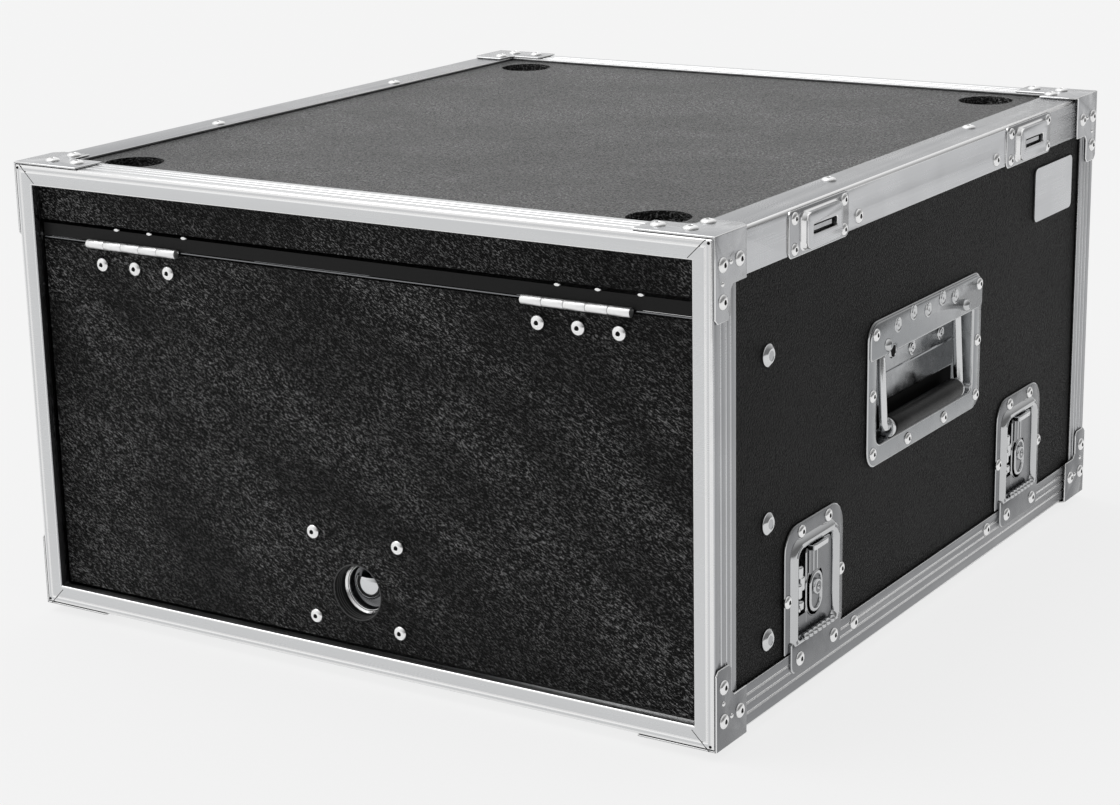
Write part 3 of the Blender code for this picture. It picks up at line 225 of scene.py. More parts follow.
def pressed_metal(name, base, roughness, dimple, depth, metallic=1.0):
    material, shader, place = new_material(name, base, roughness, metallic)
    waves = noise(material, place, 1 / dimple, 2.5, 0.55)["Fac"]
    emboss(material, shader, waves, 0.8, depth)
    gloss = remap(material, waves, 0.3, 0.7, roughness * 0.7, roughness * 1.35)
    join(material, gloss, shader.inputs["Roughness"])
    return material


# Painted light: one aluminium in lit and shaded copies; the lower and post ones are painted shade.
satin_upper = drawn_metal("satin_aluminium_upper", "#c6c7c9", 0.30, "Y", 0.05 * MM)
satin_lower = drawn_metal("satin_aluminium_painted_shade", "#8c8d8f", 0.32, "Y", 0.05 * MM)
satin_front = drawn_metal("satin_aluminium_front", "#d4d5d6", 0.30, "X", 0.01 * MM)
satin_post = drawn_metal("satin_aluminium_post", "#9c9d9f", 0.30, "Z", 0.03 * MM)
# Painted light: one zinc in lit and shaded copies; the lower one is darker as painted shade.
zinc_upper = pressed_metal("zinc_plate", "#adaeb0", 0.24, 9.0 * MM, 0.02 * MM)
zinc_lower = pressed_metal("zinc_plate_painted_shade", "#7f8082", 0.26, 9.0 * MM, 0.02 * MM)
zinc_handle = pressed_metal("zinc_plate_handle", "#989a9c", 0.22, 9.0 * MM, 0.02 * MM)
# Painted highlight: rim and bend are brighter copies for the rounded faces, where light is caught.
rim = pressed_metal("steel_rim_painted_highlight", "#ececec", 0.16, 8.0 * MM, 0.03 * MM)
bend = pressed_metal("steel_bend_painted_highlight", "#c6c7c8", 0.14, 8.0 * MM, 0.03 * MM)
chrome = pressed_metal("nickel_plated_steel", "#d4d5d6", 0.14, 8.0 * MM, 0.03 * MM)
rivet_metal = pressed_metal("rivet_aluminium", "#f0f0f0", 0.22, 2.0 * MM, 0.02 * MM)
hinge_metal = pressed_metal("rolled_aluminium_hinge", "#f6f6f6", 0.42, 2.0 * MM, 0.02 * MM)
# This dark finish is the frames' dark joints, and elsewhere painted shade in holes, pockets and
# wells.
joint_black_and_painted_shade = new_material("dark_joint_and_painted_shade", "#0a0a0a", 0.7, Specular_IOR_Level=0.1)[0]
coated = pressed_metal("black_coated_steel", "#090909", 0.42, 1.2 * MM, 0.03 * MM, 0.0)
rubber = pressed_metal("moulded_rubber", "#070707", 0.42, 0.8 * MM, 0.04 * MM, 0.0)
for dull, specular in ((rubber, 0.25), (coated, 0.2)):
    dull_shader = dull.node_tree.nodes["Principled BSDF"]
    dull_shader.inputs["Specular IOR Level"].default_value = specular

# %% [markdown]
# ## Modelling helpers
# An operator works on whatever is selected, so each helper starts by selecting only its own piece.
# A finished piece has its place in its mesh and its object at the origin, as a CAD node has.

# %% Selection and finishing
SMOOTH = math.radians(38)
SQUARE_ON = 0.985


def only(piece):
    bpy.ops.object.select_all(action="DESELECT")
    piece.select_set(True)
    bpy.context.view_layer.objects.active = piece


def apply_all(piece):
    only(piece)
    for modifier in list(piece.modifiers):
        bpy.ops.object.modifier_apply(modifier=modifier.name)


def finish_piece(piece, name, body, material):
    """Names a piece, places it in its mesh, gives it its finish and lets it ride on its body."""
    only(piece)
    bpy.ops.object.transform_apply(location=True, rotation=True, scale=True)
    bpy.ops.object.shade_smooth_by_angle(angle=SMOOTH)
    piece.name = name
    piece.data.name = name
    if isinstance(material, tuple):
        two_tone(piece, material)
    else:
        piece.data.materials.clear()
        piece.data.materials.append(material)
    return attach(piece, body)


def two_tone(piece, finishes):
    """Flat faces that look along x, y or z take the first three finishes, bent ones the others."""
    # Painted light: the finishes are lit and shaded copies, picked by the way each face looks.
    piece.data.materials.clear()
    for finish in finishes:
        piece.data.materials.append(finish)
    for face in piece.data.polygons:
        axis = max(range(3), key=lambda k: abs(face.normal[k]))
        bent = min(3 + axis, len(finishes) - 1)
        face.material_index = axis if abs(face.normal[axis]) > SQUARE_ON else bent


def body_of(node):
    return nodes[node]["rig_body"]


# %% [markdown]
# ## Giving the CAD pieces soft edges
# The CAD solids have razor edges, which no pressed or extruded piece has, and an edge that catches
# the light is what makes metal look real. A copy of the solid is merged and its flat faces are
# joined, and a bevel rounds every sharp edge. The copy then stands in for the node. A face that
# runs right round a frame would close the frame's opening when its parts are joined, so each solid
# is first cut across its middle, and the cut is marked as a seam that stays.

# %% Soft edges
def soften(node, material, width):
    piece = bpy.data.objects.new(node + "_soft", nodes[node].data.copy())
    bpy.context.scene.collection.objects.link(piece)
    only(piece)
    bpy.ops.object.mode_set(mode="EDIT")
    bpy.ops.mesh.select_all(action="SELECT")
    bpy.ops.mesh.remove_doubles(threshold=0.005 * MM)
    middle = sum((Vector(corner) for corner in piece.bound_box), Vector()) / 8
    bpy.ops.mesh.bisect(plane_co=middle, plane_no=(1, 0, 0))
    bpy.ops.mesh.mark_seam()
    bpy.ops.mesh.select_all(action="SELECT")
    bpy.ops.mesh.dissolve_limited(angle_limit=math.radians(1.0), delimit={"SEAM"})
    bpy.ops.object.mode_set(mode="OBJECT")
    bevel = piece.modifiers.new("soft_edges", "BEVEL")
    bevel.width = width
    bevel.segments = 2
    bevel.limit_method = "ANGLE"
    bevel.angle_limit = math.radians(35)
    bevel.use_clamp_overlap = False
    bevel.miter_outer = "MITER_ARC"
    apply_all(piece)
    finish_piece(piece, node + "_soft", body_of(node), material)
    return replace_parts(piece, node)


def dress(node, material):
    """Gives a CAD node that keeps its own shape a finish."""
    nodes[node].data.materials.clear()
    nodes[node].data.materials.append(material)


SLOTS = {entry["node"]: entry["material_slot"] for entry in frame["record"]["subparts"]}
SLOT_FINISHES = {
    "vinyl": cloth_side, "edge_aluminium": satin_upper, "steel": zinc_upper, "black_bar": coated,
    "rubber": rubber,
}
for node in nodes:
    dress(node, SLOT_FINISHES[SLOTS[node]])
for node in ("front_door_panel", "rear_door_panel", "front_header", "rear_header"):
    dress(node, cloth_front)
dress("top_panel", cloth_top)

# %% [markdown]
# ## Which solids get soft edges
# The frames and edge profiles are extrusions with a small radius along each edge. The braces are
# stamped sheet, rounder at their rims. The dishes and flaps aren't softened but modelled anew
# further down. The boards stay as the CAD has them, because leathercloth is pulled flat over them
# and their edges lie inside the profiles.

# %% Soften the metal
PROFILE_EDGE, SHEET_EDGE = 0.25 * MM, 0.45 * MM
# Painted light: each facing takes a lit or shaded copy, lower pieces the darker one, rounds a
# highlight.
for node in ("front_frame", "rear_frame"):
    finish = (satin_post, satin_front, satin_front, satin_upper, rim)
    soften(node, finish, PROFILE_EDGE)
for level, drawn, zinc in (("top", satin_upper, zinc_upper), ("bottom", satin_lower, zinc_lower)):
    for side in ("left", "right"):
        finish = (drawn, drawn, satin_post, rim)
        soften(f"{level}_{side}_edge", finish, PROFILE_EDGE)
        for end in ("front", "rear"):
            finish = (zinc, zinc, zinc, rim)
            soften(f"{level}_{end}_{side}_brace", finish, SHEET_EDGE)

# %% [markdown]
# ## Rings and lofts
# Most fittings here are pressed from sheet or headed from wire, and such a form is a stack of
# outlines: a rivet is a stack of circles, a dish a stack of rounded rectangles. One helper adds an
# outline as a primitive, the next bridges each outline to the one after it. Every piece is drawn
# lying flat, with its outside up, and is then stood against a wall of the case.

# %% Loft helper
def outline(low, high, radii, level, steps):
    """A rounded rectangle, or a circle where high is None, as a loop of edges at a level."""
    if high is None:
        bpy.ops.mesh.primitive_circle_add(vertices=steps, radius=radii, location=(*low, level))
        piece = bpy.context.object
        only(piece)
        bpy.ops.object.transform_apply(location=True, rotation=True, scale=True)
        return piece
    middle = ((low[0] + high[0]) / 2, (low[1] + high[1]) / 2, level)
    bpy.ops.mesh.primitive_plane_add(size=1, location=middle)
    piece = bpy.context.object
    piece.scale = (high[0] - low[0], high[1] - low[1], 1)
    only(piece)
    bpy.ops.object.transform_apply(location=True, rotation=True, scale=True)
    bpy.ops.object.mode_set(mode="EDIT")
    for radius, upper in zip(radii, (False, True)):
        pick_verts(piece, lambda vert: vert.is_boundary and (vert.co.y > middle[1]) == upper)
        bpy.ops.mesh.bevel(affect="VERTICES", offset=radius, segments=steps)
    bpy.ops.mesh.select_all(action="SELECT")
    bpy.ops.mesh.delete(type="ONLY_FACE")
    bpy.ops.object.mode_set(mode="OBJECT")
    return piece


def pick_verts(piece, test):
    """In edit mode, selects only the points that pass a test."""
    bpy.ops.mesh.select_mode(type="VERT")
    bpy.ops.mesh.select_all(action="DESELECT")
    shell = bmesh.from_edit_mesh(piece.data)
    for vert in shell.verts:
        vert.select = test(vert)
    shell.select_flush_mode()
    bmesh.update_edit_mesh(piece.data)


def loft(rings, steps=5, close=True):
    """Bridges outlines in turn. A ring is (low, high, radii, level), in millimetres."""
    piece = None
    first = 0
    for low, high, radii, level in rings:
        low = (low[0] * MM, low[1] * MM)
        high = high and (high[0] * MM, high[1] * MM)
        radii = radii * MM if high is None else (radii[0] * MM, radii[1] * MM)
        added = outline(low, high, radii, level * MM, steps)
        if piece is None:
            piece = added
            continue
        count = len(piece.data.vertices)
        only(piece)
        added.select_set(True)
        bpy.ops.object.join()
        bpy.ops.object.mode_set(mode="EDIT")
        pick_verts(piece, lambda vert: vert.index >= first)
        bpy.ops.mesh.bridge_edge_loops()
        bpy.ops.object.mode_set(mode="OBJECT")
        first = count
    if close:
        bpy.ops.object.mode_set(mode="EDIT")
        pick_verts(piece, lambda vert: vert.index >= first)
        bpy.ops.mesh.edge_face_add()
        bpy.ops.object.mode_set(mode="OBJECT")
    bpy.ops.object.mode_set(mode="EDIT")
    bpy.ops.mesh.select_all(action="SELECT")
    bpy.ops.mesh.normals_make_consistent(inside=False)
    bpy.ops.object.mode_set(mode="OBJECT")
    face_up(piece)
    return piece


def face_up(piece):
    """Turns a skin over if most of it looks down."""
    if sum(face.normal.z * face.area for face in piece.data.polygons) < 0:
        only(piece)
        bpy.ops.object.mode_set(mode="EDIT")
        bpy.ops.mesh.select_all(action="SELECT")
        bpy.ops.mesh.flip_normals()
        bpy.ops.object.mode_set(mode="OBJECT")


def circles(*pairs, centre=(0, 0)):
    return [(centre, None, radius, level) for radius, level in pairs]


def rectangles(*rows):
    """Rows of (left, low, right, high, low radius, high radius, level)."""
    return [((a, b), (c, d), (r, s), level) for a, b, c, d, r, s, level in rows]


STAND = Matrix(((0, 0, 1, 0), (1, 0, 0, 0), (0, 1, 0, 0), (0, 0, 0, 1)))
FRONT, RIGHT, REAR, LEFT = (math.radians(turn) for turn in (-90, 0, 90, 180))
FLANKS = (("right", RIGHT, 1), ("left", LEFT, -1))
ENDS = (("front", -1), ("rear", 1))
ALONG = Matrix.Rotation(math.pi / 2, 4, "Y")


def against(wall, along=0.0, up=0.0, out=0.0):
    """Stands a piece drawn flat against a wall: its x along it, its y up, its z outwards."""
    shift = Matrix.Translation((along * MM, up * MM, out * MM))
    return Matrix.Rotation(wall, 4, "Z") @ STAND @ shift


def twin(piece, place):
    """A copy with its own mesh, moved to a place."""
    copied = bpy.data.objects.new(piece.name + "_twin", piece.data.copy())
    bpy.context.scene.collection.objects.link(copied)
    copied.data.transform(place)
    return copied


def joined(pieces):
    only(pieces[0])
    for piece in pieces:
        piece.select_set(True)
    bpy.ops.object.join()
    return bpy.context.object


# %% [markdown]
# ## Measures of the case
# The fittings that are modelled here have to sit where the CAD has them. These are the places that
# several pieces share, in millimetres: half the width and length of the body, its lower and upper
# edge over the floor, and how far the latches, hinges and other fittings are from the middle.

# %% Measures
HALF_WIDTH, HALF_LENGTH = 265, 295
BODY_LOW, BODY_HIGH = 7, 316
LATCH_RUN = 164
HINGE_RUN = 171
EDGE_RIVET_RUN = 108
RAIL_BOLT_RUN = 224.5
FINGER_HOLE_UP = 57.5
GRIP_UP, GRIP_OUT = 145, 261.5

# %% [markdown]
# ## Pop rivets
# Every fitting is held by pop rivets: a domed aluminium flange about 9 mm across, with a hole in
# the middle where the steel mandrel snapped off. A dark cap in the hole stands for its shadow, as
# painted shade. One rivet is lofted from circles, and copies go where the CAD has its rivets and on
# the small fittings that it leaves bare.

# %% One rivet and the dark cap in its hole, painted shade
rivet = loft(circles(
    (4.8, 0), (4.8, 0.4), (4.6, 0.9), (4.1, 1.4), (3.3, 1.8), (2.4, 2.05), (1.75, 2.1), (1.5, 1.9),
    (1.4, 0.7),
), steps=24)
# Painted shade: a dark cap that stands for the shadow in the rivet's hole.
hole_shade_cap = loft(circles((1.55, 1.2), (1.5, 1.84), (1.0, 1.9), (0.3, 1.9)), steps=14)


def rivet_group(name, body, places):
    """One mesh of rivets and one of their dark caps, painted shade, so a body carries two pieces,
    not fifty.
    """
    for kind, model, finish in (
        ("rivets", rivet, rivet_metal), ("mandrel_hole_shades", hole_shade_cap, joint_black_and_painted_shade)
    ):
        heads = joined([twin(model, place) for place in places])
        finish_piece(heads, f"{name}_{kind}", body, finish)
    print(name, "has", len(places), "rivets")


# On a side wall, in from the case's end and from its upper or lower edge.
BRACE_RIVETS = ((9.3, 16.3), (29.3, 16.3), (9.3, 37.8))
# On a side wall, along from the middle of the fitting, and up from the floor.
KEEPER_RIVETS = ((-33, 291.4), (33, 291.4), (-33, 310), (33, 310))
LATCH_RIVETS = ((-18.3, 111.2), (18.3, 111.2), (-36.4, 70.5), (36.4, 70.5))
HANDLE_RIVETS = ((29, 131.1), (82.5, 134.1), (83.5, 173.1), (82.0, 213.5))
# On the lid, in from the side and in from the end.
LID_RIVETS = ((21.5, 14.0), (21.5, 34.5), (43.0, 14.0))
LID_EDGE_RIVET = 244.4
# How far out the flange of a rivet sits on each kind of fitting, and how far up on the lid's.
BRACE_OUT, KEEPER_OUT, EDGE_OUT = 266.5, 266.2, 265
DISH_OUT, BRACKET_OUT, DOOR_OUT = 264.7, 265.9, 287.6
LID_BRACE_UP = 317.5

case_rivets = []
for _, wall, side in FLANKS:
    for _, end in ENDS:
        for low in (True, False):
            for run, drop in BRACE_RIVETS:
                up = BODY_LOW + drop if low else BODY_HIGH - drop
                case_rivets.append(against(wall, side * end * (HALF_LENGTH - run), up, BRACE_OUT))
        middle = side * end * LATCH_RUN
        for along, up in KEEPER_RIVETS:
            place = against(wall, middle + along, up, KEEPER_OUT)
            case_rivets.append(place @ Matrix.Scale(0.85, 4))
        for along, up in LATCH_RIVETS:
            place = against(wall, middle + along, up, DISH_OUT)
            case_rivets.append(place @ Matrix.Scale(0.92, 4))
        for along in (-23.5, 23.5):
            case_rivets.append(against(wall, middle + along, 29.8, BRACE_OUT))
        for up in (295.4, 27.6):
            case_rivets.append(against(wall, side * end * EDGE_RIVET_RUN, up, EDGE_OUT))
        for along, up in HANDLE_RIVETS:
            place = against(wall, end * along, up, DISH_OUT if up < 200 else BRACKET_OUT)
            case_rivets.append(place @ Matrix.Scale(0.9, 4))
        spots = [(side * LID_EDGE_RIVET, end * EDGE_RIVET_RUN, BODY_HIGH)]
        for reach, run in LID_RIVETS:
            spots.append((side * (HALF_WIDTH - reach), end * (HALF_LENGTH - run), LID_BRACE_UP))
        case_rivets += [Matrix.Translation([value * MM for value in spot]) for spot in spots]
rivet_group("case", "case", case_rivets)

door_rivets = [
    against(FRONT, hinge + along, 252.6, DOOR_OUT)
    for hinge in (-HINGE_RUN, HINGE_RUN) for along in (-28.2, 0, 28.2)
]
door_rivets += [
    against(FRONT, along, up, DOOR_OUT) for along in (-33.4, 33.4) for up in (36.0, 93.6)
]
rivet_group("front_door", "front_door", door_rivets)

# %% [markdown]
# ## Saucer bolts
# Three bolts a side hold each rack rail. Each has a broad dished head that spreads the load on the
# ply, with the driver's socket in its middle.

# %% Saucer bolts
saucer = loft(circles(
    (7.2, 0), (7.2, 0.5), (6.9, 0.9), (5.6, 1.6), (4.6, 2.3), (3.8, 2.5), (3.1, 2.3), (2.4, 1.5),
    (1.5, 1.1),
), steps=28)
for side_name, wall, side in FLANKS:
    places = [against(wall, -RAIL_BOLT_RUN * side, up, 263.5) for up in (53.8, 128.2, 232.8)]
    heads = joined([twin(saucer, place) for place in places])
    finish_piece(heads, side_name + "_rail_bolt_heads", "case", chrome)

# %% [markdown]
# ## Stacking keepers
# A keeper is a stamped plate on the top edge profile. Its middle is raised into a rounded box with
# a slot, and the hook of the latch on the case above pulls against the slot's upper edge. A bar
# lies in the slot, and a dark plate behind the bar closes it, painted shade for the shadow there.

# %% Keepers
keeper = loft(rectangles(
    (-40, 286.2, 40, 315.2, 4, 4, 264.9), (-40, 286.2, 40, 315.2, 4, 4, 265.9),
    (-39.5, 286.7, 39.5, 314.7, 3.6, 3.6, 266.25), (-25.6, 288.4, 25.6, 312.9, 5, 5, 266.3),
    (-24.6, 289.0, 24.6, 312.4, 5, 5, 266.8), (-23.8, 289.7, 23.8, 311.7, 4.6, 4.6, 268.9),
    (-23.0, 290.4, 23.0, 311.0, 4.2, 4.2, 270.0), (-21.6, 291.7, 21.6, 309.7, 3.6, 3.6, 270.45),
    (-16.6, 297.2, 16.6, 304.2, 2.2, 2.2, 270.45), (-15.9, 297.7, 15.9, 303.7, 1.9, 1.9, 270.1),
    (-15.6, 297.9, 15.6, 303.5, 1.8, 1.8, 267.4),
))
# Painted shade: a dark plate behind the bar stands for the shadow in the slot.
painted_pocket_shade = loft(rectangles(
    (-15.5, 298.0, 15.5, 303.4, 1.7, 1.7, 267.5), (-15.3, 298.2, 15.3, 303.2, 1.6, 1.6, 267.8)
))
bar = loft(rectangles(
    (-15.5, 299.4, 11.5, 302.2, 0.4, 0.4, 267.6), (-15.5, 299.4, 11.5, 302.2, 0.4, 0.4, 268.7)
))
keeper = joined([keeper, bar])
for side_name, wall, side in FLANKS:
    for end_name, end in ENDS:
        place = against(wall, side * end * LATCH_RUN)
        name = f"{end_name}_{side_name}_keeper"
        # Painted light: the flats take the lit zinc copy and the rounds the rim's painted
        # highlight.
        plated = (zinc_upper, zinc_upper, zinc_upper, rim)
        finish_piece(twin(keeper, place), name, "case", plated)
        finish_piece(twin(painted_pocket_shade, place), name + "_pocket", "case", joint_black_and_painted_shade)

# %% [markdown]
# ## Latches
# Each latch sits in a pressed dish with a thick rolled rim. A flap hinged at the foot folds out
# and down over the case below, and a wing that turns on the flap draws the hook on its face. The
# wing shows as a capsule-shaped link round a boss, inside a low bead pressed in the flap. The hook
# has two thin ribs along it and ends in a bright lip. Beside the flap the dish is open, and a few
# bright turns of spring show there, and a dark plate, painted shade where the deep dish lies in
# shadow. The barrels at the foot belong to the dish and the flap in turn, so every second one
# moves with the flap.

# %% Latch dish and foot
latch_plate = loft(rectangles(
    (-40, 36, 40, 117, 1, 16, 263.6), (-40, 36, 40, 117, 1, 16, 264.3),
    (-39.4, 36.5, 39.4, 116.4, 1, 15.5, 264.7), (-33, 38, 33, 107.6, 3, 12, 264.75),
    (-32.4, 38.4, 32.4, 107, 3, 11.5, 265.5), (-31.4, 39, 31.4, 106, 3, 10.8, 266.6),
    (-30.0, 39.8, 30.0, 104.6, 3, 9.8, 267.5), (-28.4, 40.8, 28.4, 103, 3, 8.8, 267.8),
    (-26.9, 41.8, 26.9, 101.5, 3, 7.6, 267.4), (-25.8, 42.6, 25.8, 100.4, 3, 6.8, 266.3),
    (-25.2, 43.2, 25.2, 99.6, 3, 6.2, 264.6), (-25, 43.5, 25, 99.4, 3, 6, 263.0),
    (-24.6, 44, 24.6, 98.8, 3, 5.6, 254.0), (-23, 45.5, 23, 97.2, 2.4, 4.4, 252.5),
), steps=6)
latch_foot = loft(rectangles(
    (-34.5, 21.5, 34.5, 42, 6, 1, 264.2), (-34.5, 21.5, 34.5, 42, 6, 1, 266.1),
    (-33.9, 22.1, 33.9, 41.4, 5.6, 1, 266.7),
))
latch_plate = joined([latch_plate, latch_foot])

# %% Latch flap, link and hook
latch_flap = loft(rectangles(
    (-11, 47.5, 24, 98, 2, 4, 262.9), (-11, 47.5, 24, 98, 2, 4, 264.0),
    (-10.5, 48, 23.5, 97.5, 1.8, 3.6, 264.5),
))
web = loft(rectangles(
    (-24.2, 43.4, 24.2, 56, 0.8, 0.8, 263.0), (-24.2, 43.4, 24.2, 56, 0.8, 0.8, 264.4)
))
ridge = loft(rectangles(
    (-11.6, 50.6, 11.6, 84.2, 11.4, 11.4, 264.4), (-11.2, 51, 11.2, 83.8, 11, 11, 265.0),
    (-10.7, 51.5, 10.7, 83.3, 10.5, 10.5, 265.0), (-10.3, 51.9, 10.3, 82.9, 10.1, 10.1, 264.4),
), steps=8, close=False)
spring = []
for left, low, right, high in (
    (-19, 79, -14, 88), (-16.5, 70.5, -11.6, 81), (-20, 66, -15.4, 76.5), (-18, 58, -13, 65),
    (-20, 57, -17.6, 62),
):
    spring.append(loft(rectangles(
        (left, low, right, high, 1.8, 1.8, 260.0), (left, low, right, high, 1.8, 1.8, 263.0),
        (left + 0.6, low + 0.6, right - 0.6, high - 0.6, 1.3, 1.3, 264.2),
        (left + 1.4, low + 1.4, right - 1.4, high - 1.4, 0.5, 0.5, 264.7),
    ), steps=4))
latch_flap = joined([latch_flap, web, ridge])
spring = joined(spring)
# Painted shade: a dark plate on the dish floor beside the flap stands for its shadow.
painted_well_shade = loft(rectangles(
    (-24.4, 86.5, -13, 98.2, 1, 3, 258.5), (-24.2, 86.7, -13.2, 98, 0.9, 2.9, 258.9)
))
link = loft(rectangles(
    (-8.6, 53.4, 8.6, 80.6, 8.5, 8.5, 264.3), (-8.6, 53.4, 8.6, 80.6, 8.5, 8.5, 265.7),
    (-8.1, 53.9, 8.1, 80.1, 8, 8, 266.3), (-7.3, 54.7, 7.3, 79.3, 7.2, 7.2, 266.5),
    (-6.5, 55.5, 6.5, 78.5, 6.4, 6.4, 266.2), (-6.2, 55.8, 6.2, 78.2, 6.1, 6.1, 265.2),
), steps=8)
boss = loft(circles(
    (5.2, 265.0), (5.2, 266.8), (4.7, 267.5), (3.8, 267.7), (1.9, 267.7), (1.7, 268.3),
    (1.1, 268.7), (0.4, 268.8), centre=(0, 70)
), steps=24)
hook = loft(rectangles(
    (-8, 79.5, 8, 98.4, 1.5, 1.0, 264.6), (-8, 79.5, 8, 98.4, 1.5, 1.0, 265.2),
    (-7.7, 79.8, 7.7, 98.1, 1.3, 0.9, 265.5),
))
lines = [loft(rectangles(
    (along - 0.9, 80.6, along + 0.9, 97.4, 0.8, 0.2, 265.4),
    (along - 0.5, 80.9, along + 0.5, 97.2, 0.4, 0.2, 266.0),
)) for along in (-2.4, 2.4)]
lip = loft(rectangles(
    (-9, 95.6, 9, 99.4, 0.9, 0.9, 264.8), (-9, 95.8, 9, 99.8, 0.9, 0.9, 267.4),
    (-9, 96.2, 9, 100.4, 1, 1, 269.0), (-8.6, 96.8, 8.6, 100.4, 1, 1, 269.9),
    (-8.0, 97.6, 8.0, 100, 0.8, 0.8, 270.2),
))
latch_hook = joined([hook, *lines])
latch_wing = joined([link, boss])
knuckle = loft(circles(
    (0.9, -2.6), (1.7, -2.3), (2.3, -1.6), (2.6, -0.7), (2.6, 0.7), (2.3, 1.6), (1.7, 2.3),
    (0.9, 2.6),
), steps=20)
PIN_UP, PIN_OUT = 43, 267.8
for side_name, wall, side in FLANKS:
    for end_name, end in ENDS:
        latch = f"{end_name}_{side_name}_latch"
        middle = side * end * LATCH_RUN
        place = against(wall, middle)
        knuckles = [
            twin(knuckle, against(wall, middle + step, PIN_UP, PIN_OUT) @ ALONG)
            for step in range(-18, 19, 6)
        ]
        dish = joined([twin(latch_plate, place)] + knuckles[::2])
        flap = joined([twin(latch_flap, place)] + knuckles[1::2])
        for piece, part in (
            (dish, "dish"), (flap, "flap"), (twin(latch_hook, place), "hook"),
            (twin(latch_wing, place), "wing"),
        ):
            node = f"{latch}_{part}"
            # Painted light: the latch takes the darker zinc copy, painted shade, and its bends a
            # painted highlight.
            plated = (zinc_lower, zinc_lower, zinc_lower, bend)
            finish_piece(piece, node + "_pressed", body_of(node), plated)
            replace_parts(piece, node)
        finish_piece(twin(painted_well_shade, place), f"{latch}_well", "case", joint_black_and_painted_shade)
        for model, part, moving in ((spring, "spring", "flap"), (lip, "hook_lip", "hook")):
            body = body_of(f"{latch}_{moving}")
            finish_piece(twin(model, place), f"{latch}_{part}", body, chrome)

# %% [markdown]
# ## Bail handles
# A handle is a pressed dish with a wide flange, sunk in the side so that it doesn't catch when
# cases stand together. A riveted bracket holds the bail's pivots, and the bail carries a black
# rubber grip. A spring snaps it shut, so it hangs flat in the dish. Rings and two pips are pressed
# in the bracket and in the sheet behind the bail, which has a groove along it too. At one end of
# the bracket an eye with a raised ring is open. A dark piece in the eye and a dark strip on the
# dish's floor behind and above the grip stand for the shadow there, painted shade.

# %% Handle dish and bracket
handle_plate = loft(rectangles(
    (-90, 124.6, 90, 221.6, 12, 12, 263.5), (-90, 124.6, 90, 221.6, 12, 12, 264.1),
    (-89.2, 125.4, 89.2, 220.8, 11.5, 11.5, 264.7), (-77.6, 137, 77.6, 209.2, 7, 7, 264.75),
    (-76.8, 137.8, 76.8, 208.4, 6.4, 6.4, 264.3), (-76.4, 138.2, 76.4, 208, 6, 6, 263),
    (-75.8, 138.8, 75.8, 207.4, 5.6, 5.6, 253.5), (-74.4, 140.2, 74.4, 206, 4.6, 4.6, 251.5),
), steps=6)
bracket = loft(rectangles(
    (-88.6, 196.4, 88.6, 220.6, 3, 11, 264.6), (-88.6, 196.4, 88.6, 220.6, 3, 11, 265.3),
    (-87.8, 197.2, 87.8, 219.8, 2.6, 10.4, 265.9),
), steps=6)
backing = loft(rectangles(
    (-68, 158, 68, 199, 1.5, 1.5, 251.5), (-68, 158, 68, 199, 1.5, 1.5, 253.0),
    (-67, 159, 67, 198.3, 1.2, 1.2, 253.8),
))
groove = loft(rectangles(
    (-66, 176.4, 66, 178.2, 0.5, 0.5, 253.6), (-65.6, 176.8, 65.6, 177.8, 0.4, 0.4, 254.4)
))
rings = []
for along, up, out in (
    (-49, 213, 265.7), (-25, 216, 265.7), (-2, 213, 265.7), (21, 216, 265.7), (42, 212.8, 265.7),
    (-47, 185.2, 253.7), (0, 185.2, 253.7), (46, 185.2, 253.7),
):
    rings.append(loft(circles(
        (5.2, out), (5.0, out + 0.5), (4.3, out + 0.7), (3.7, out + 0.4), (3.3, out + 0.3),
        (2.9, out + 0.9), (1.9, out + 1.1), (1.2, out + 0.9), (0.9, out + 0.3), centre=(along, up)
    ), steps=22))
pips = [loft(circles(
    (4.4, 265.4), (4.2, 266.8), (3.2, 268.2), (1.8, 268.9), (0.6, 269.1), centre=centre
), steps=20) for centre in ((-64, 203), (60, 203))]
handle_plate = joined([handle_plate, bracket, backing, groove, *rings, *pips])
# Painted shade: a dark strip on the dish floor, behind and above the grip, where the shadow falls.
shade = loft(rectangles(
    (-69, 141, 69, 157.6, 1.5, 1.5, 251.6), (-68.8, 141.2, 68.8, 157.4, 1.4, 1.4, 252.0)
))
eye = loft(rectangles(
    (-60.5, 193.6, -52.5, 201.2, 3.7, 3.7, 265.6), (-60.4, 193.7, -52.6, 201.1, 3.6, 3.6, 266.2)
))
eye_ring = loft(rectangles(
    (-61.6, 192.5, -51.4, 202.3, 4.8, 4.8, 265.6), (-61.2, 192.9, -51.8, 201.9, 4.5, 4.5, 266.7),
    (-60.6, 193.5, -52.4, 201.3, 3.9, 3.9, 266.7), (-60.4, 193.7, -52.6, 201.1, 3.7, 3.7, 266.0),
), steps=8, close=False)
painted_handle_shade = joined([shade, eye])
handle_plate = joined([handle_plate, eye_ring])

# %% Bail arms and grip
ARM_RUN = 60.5
WIRE_RADIUS = 3.3


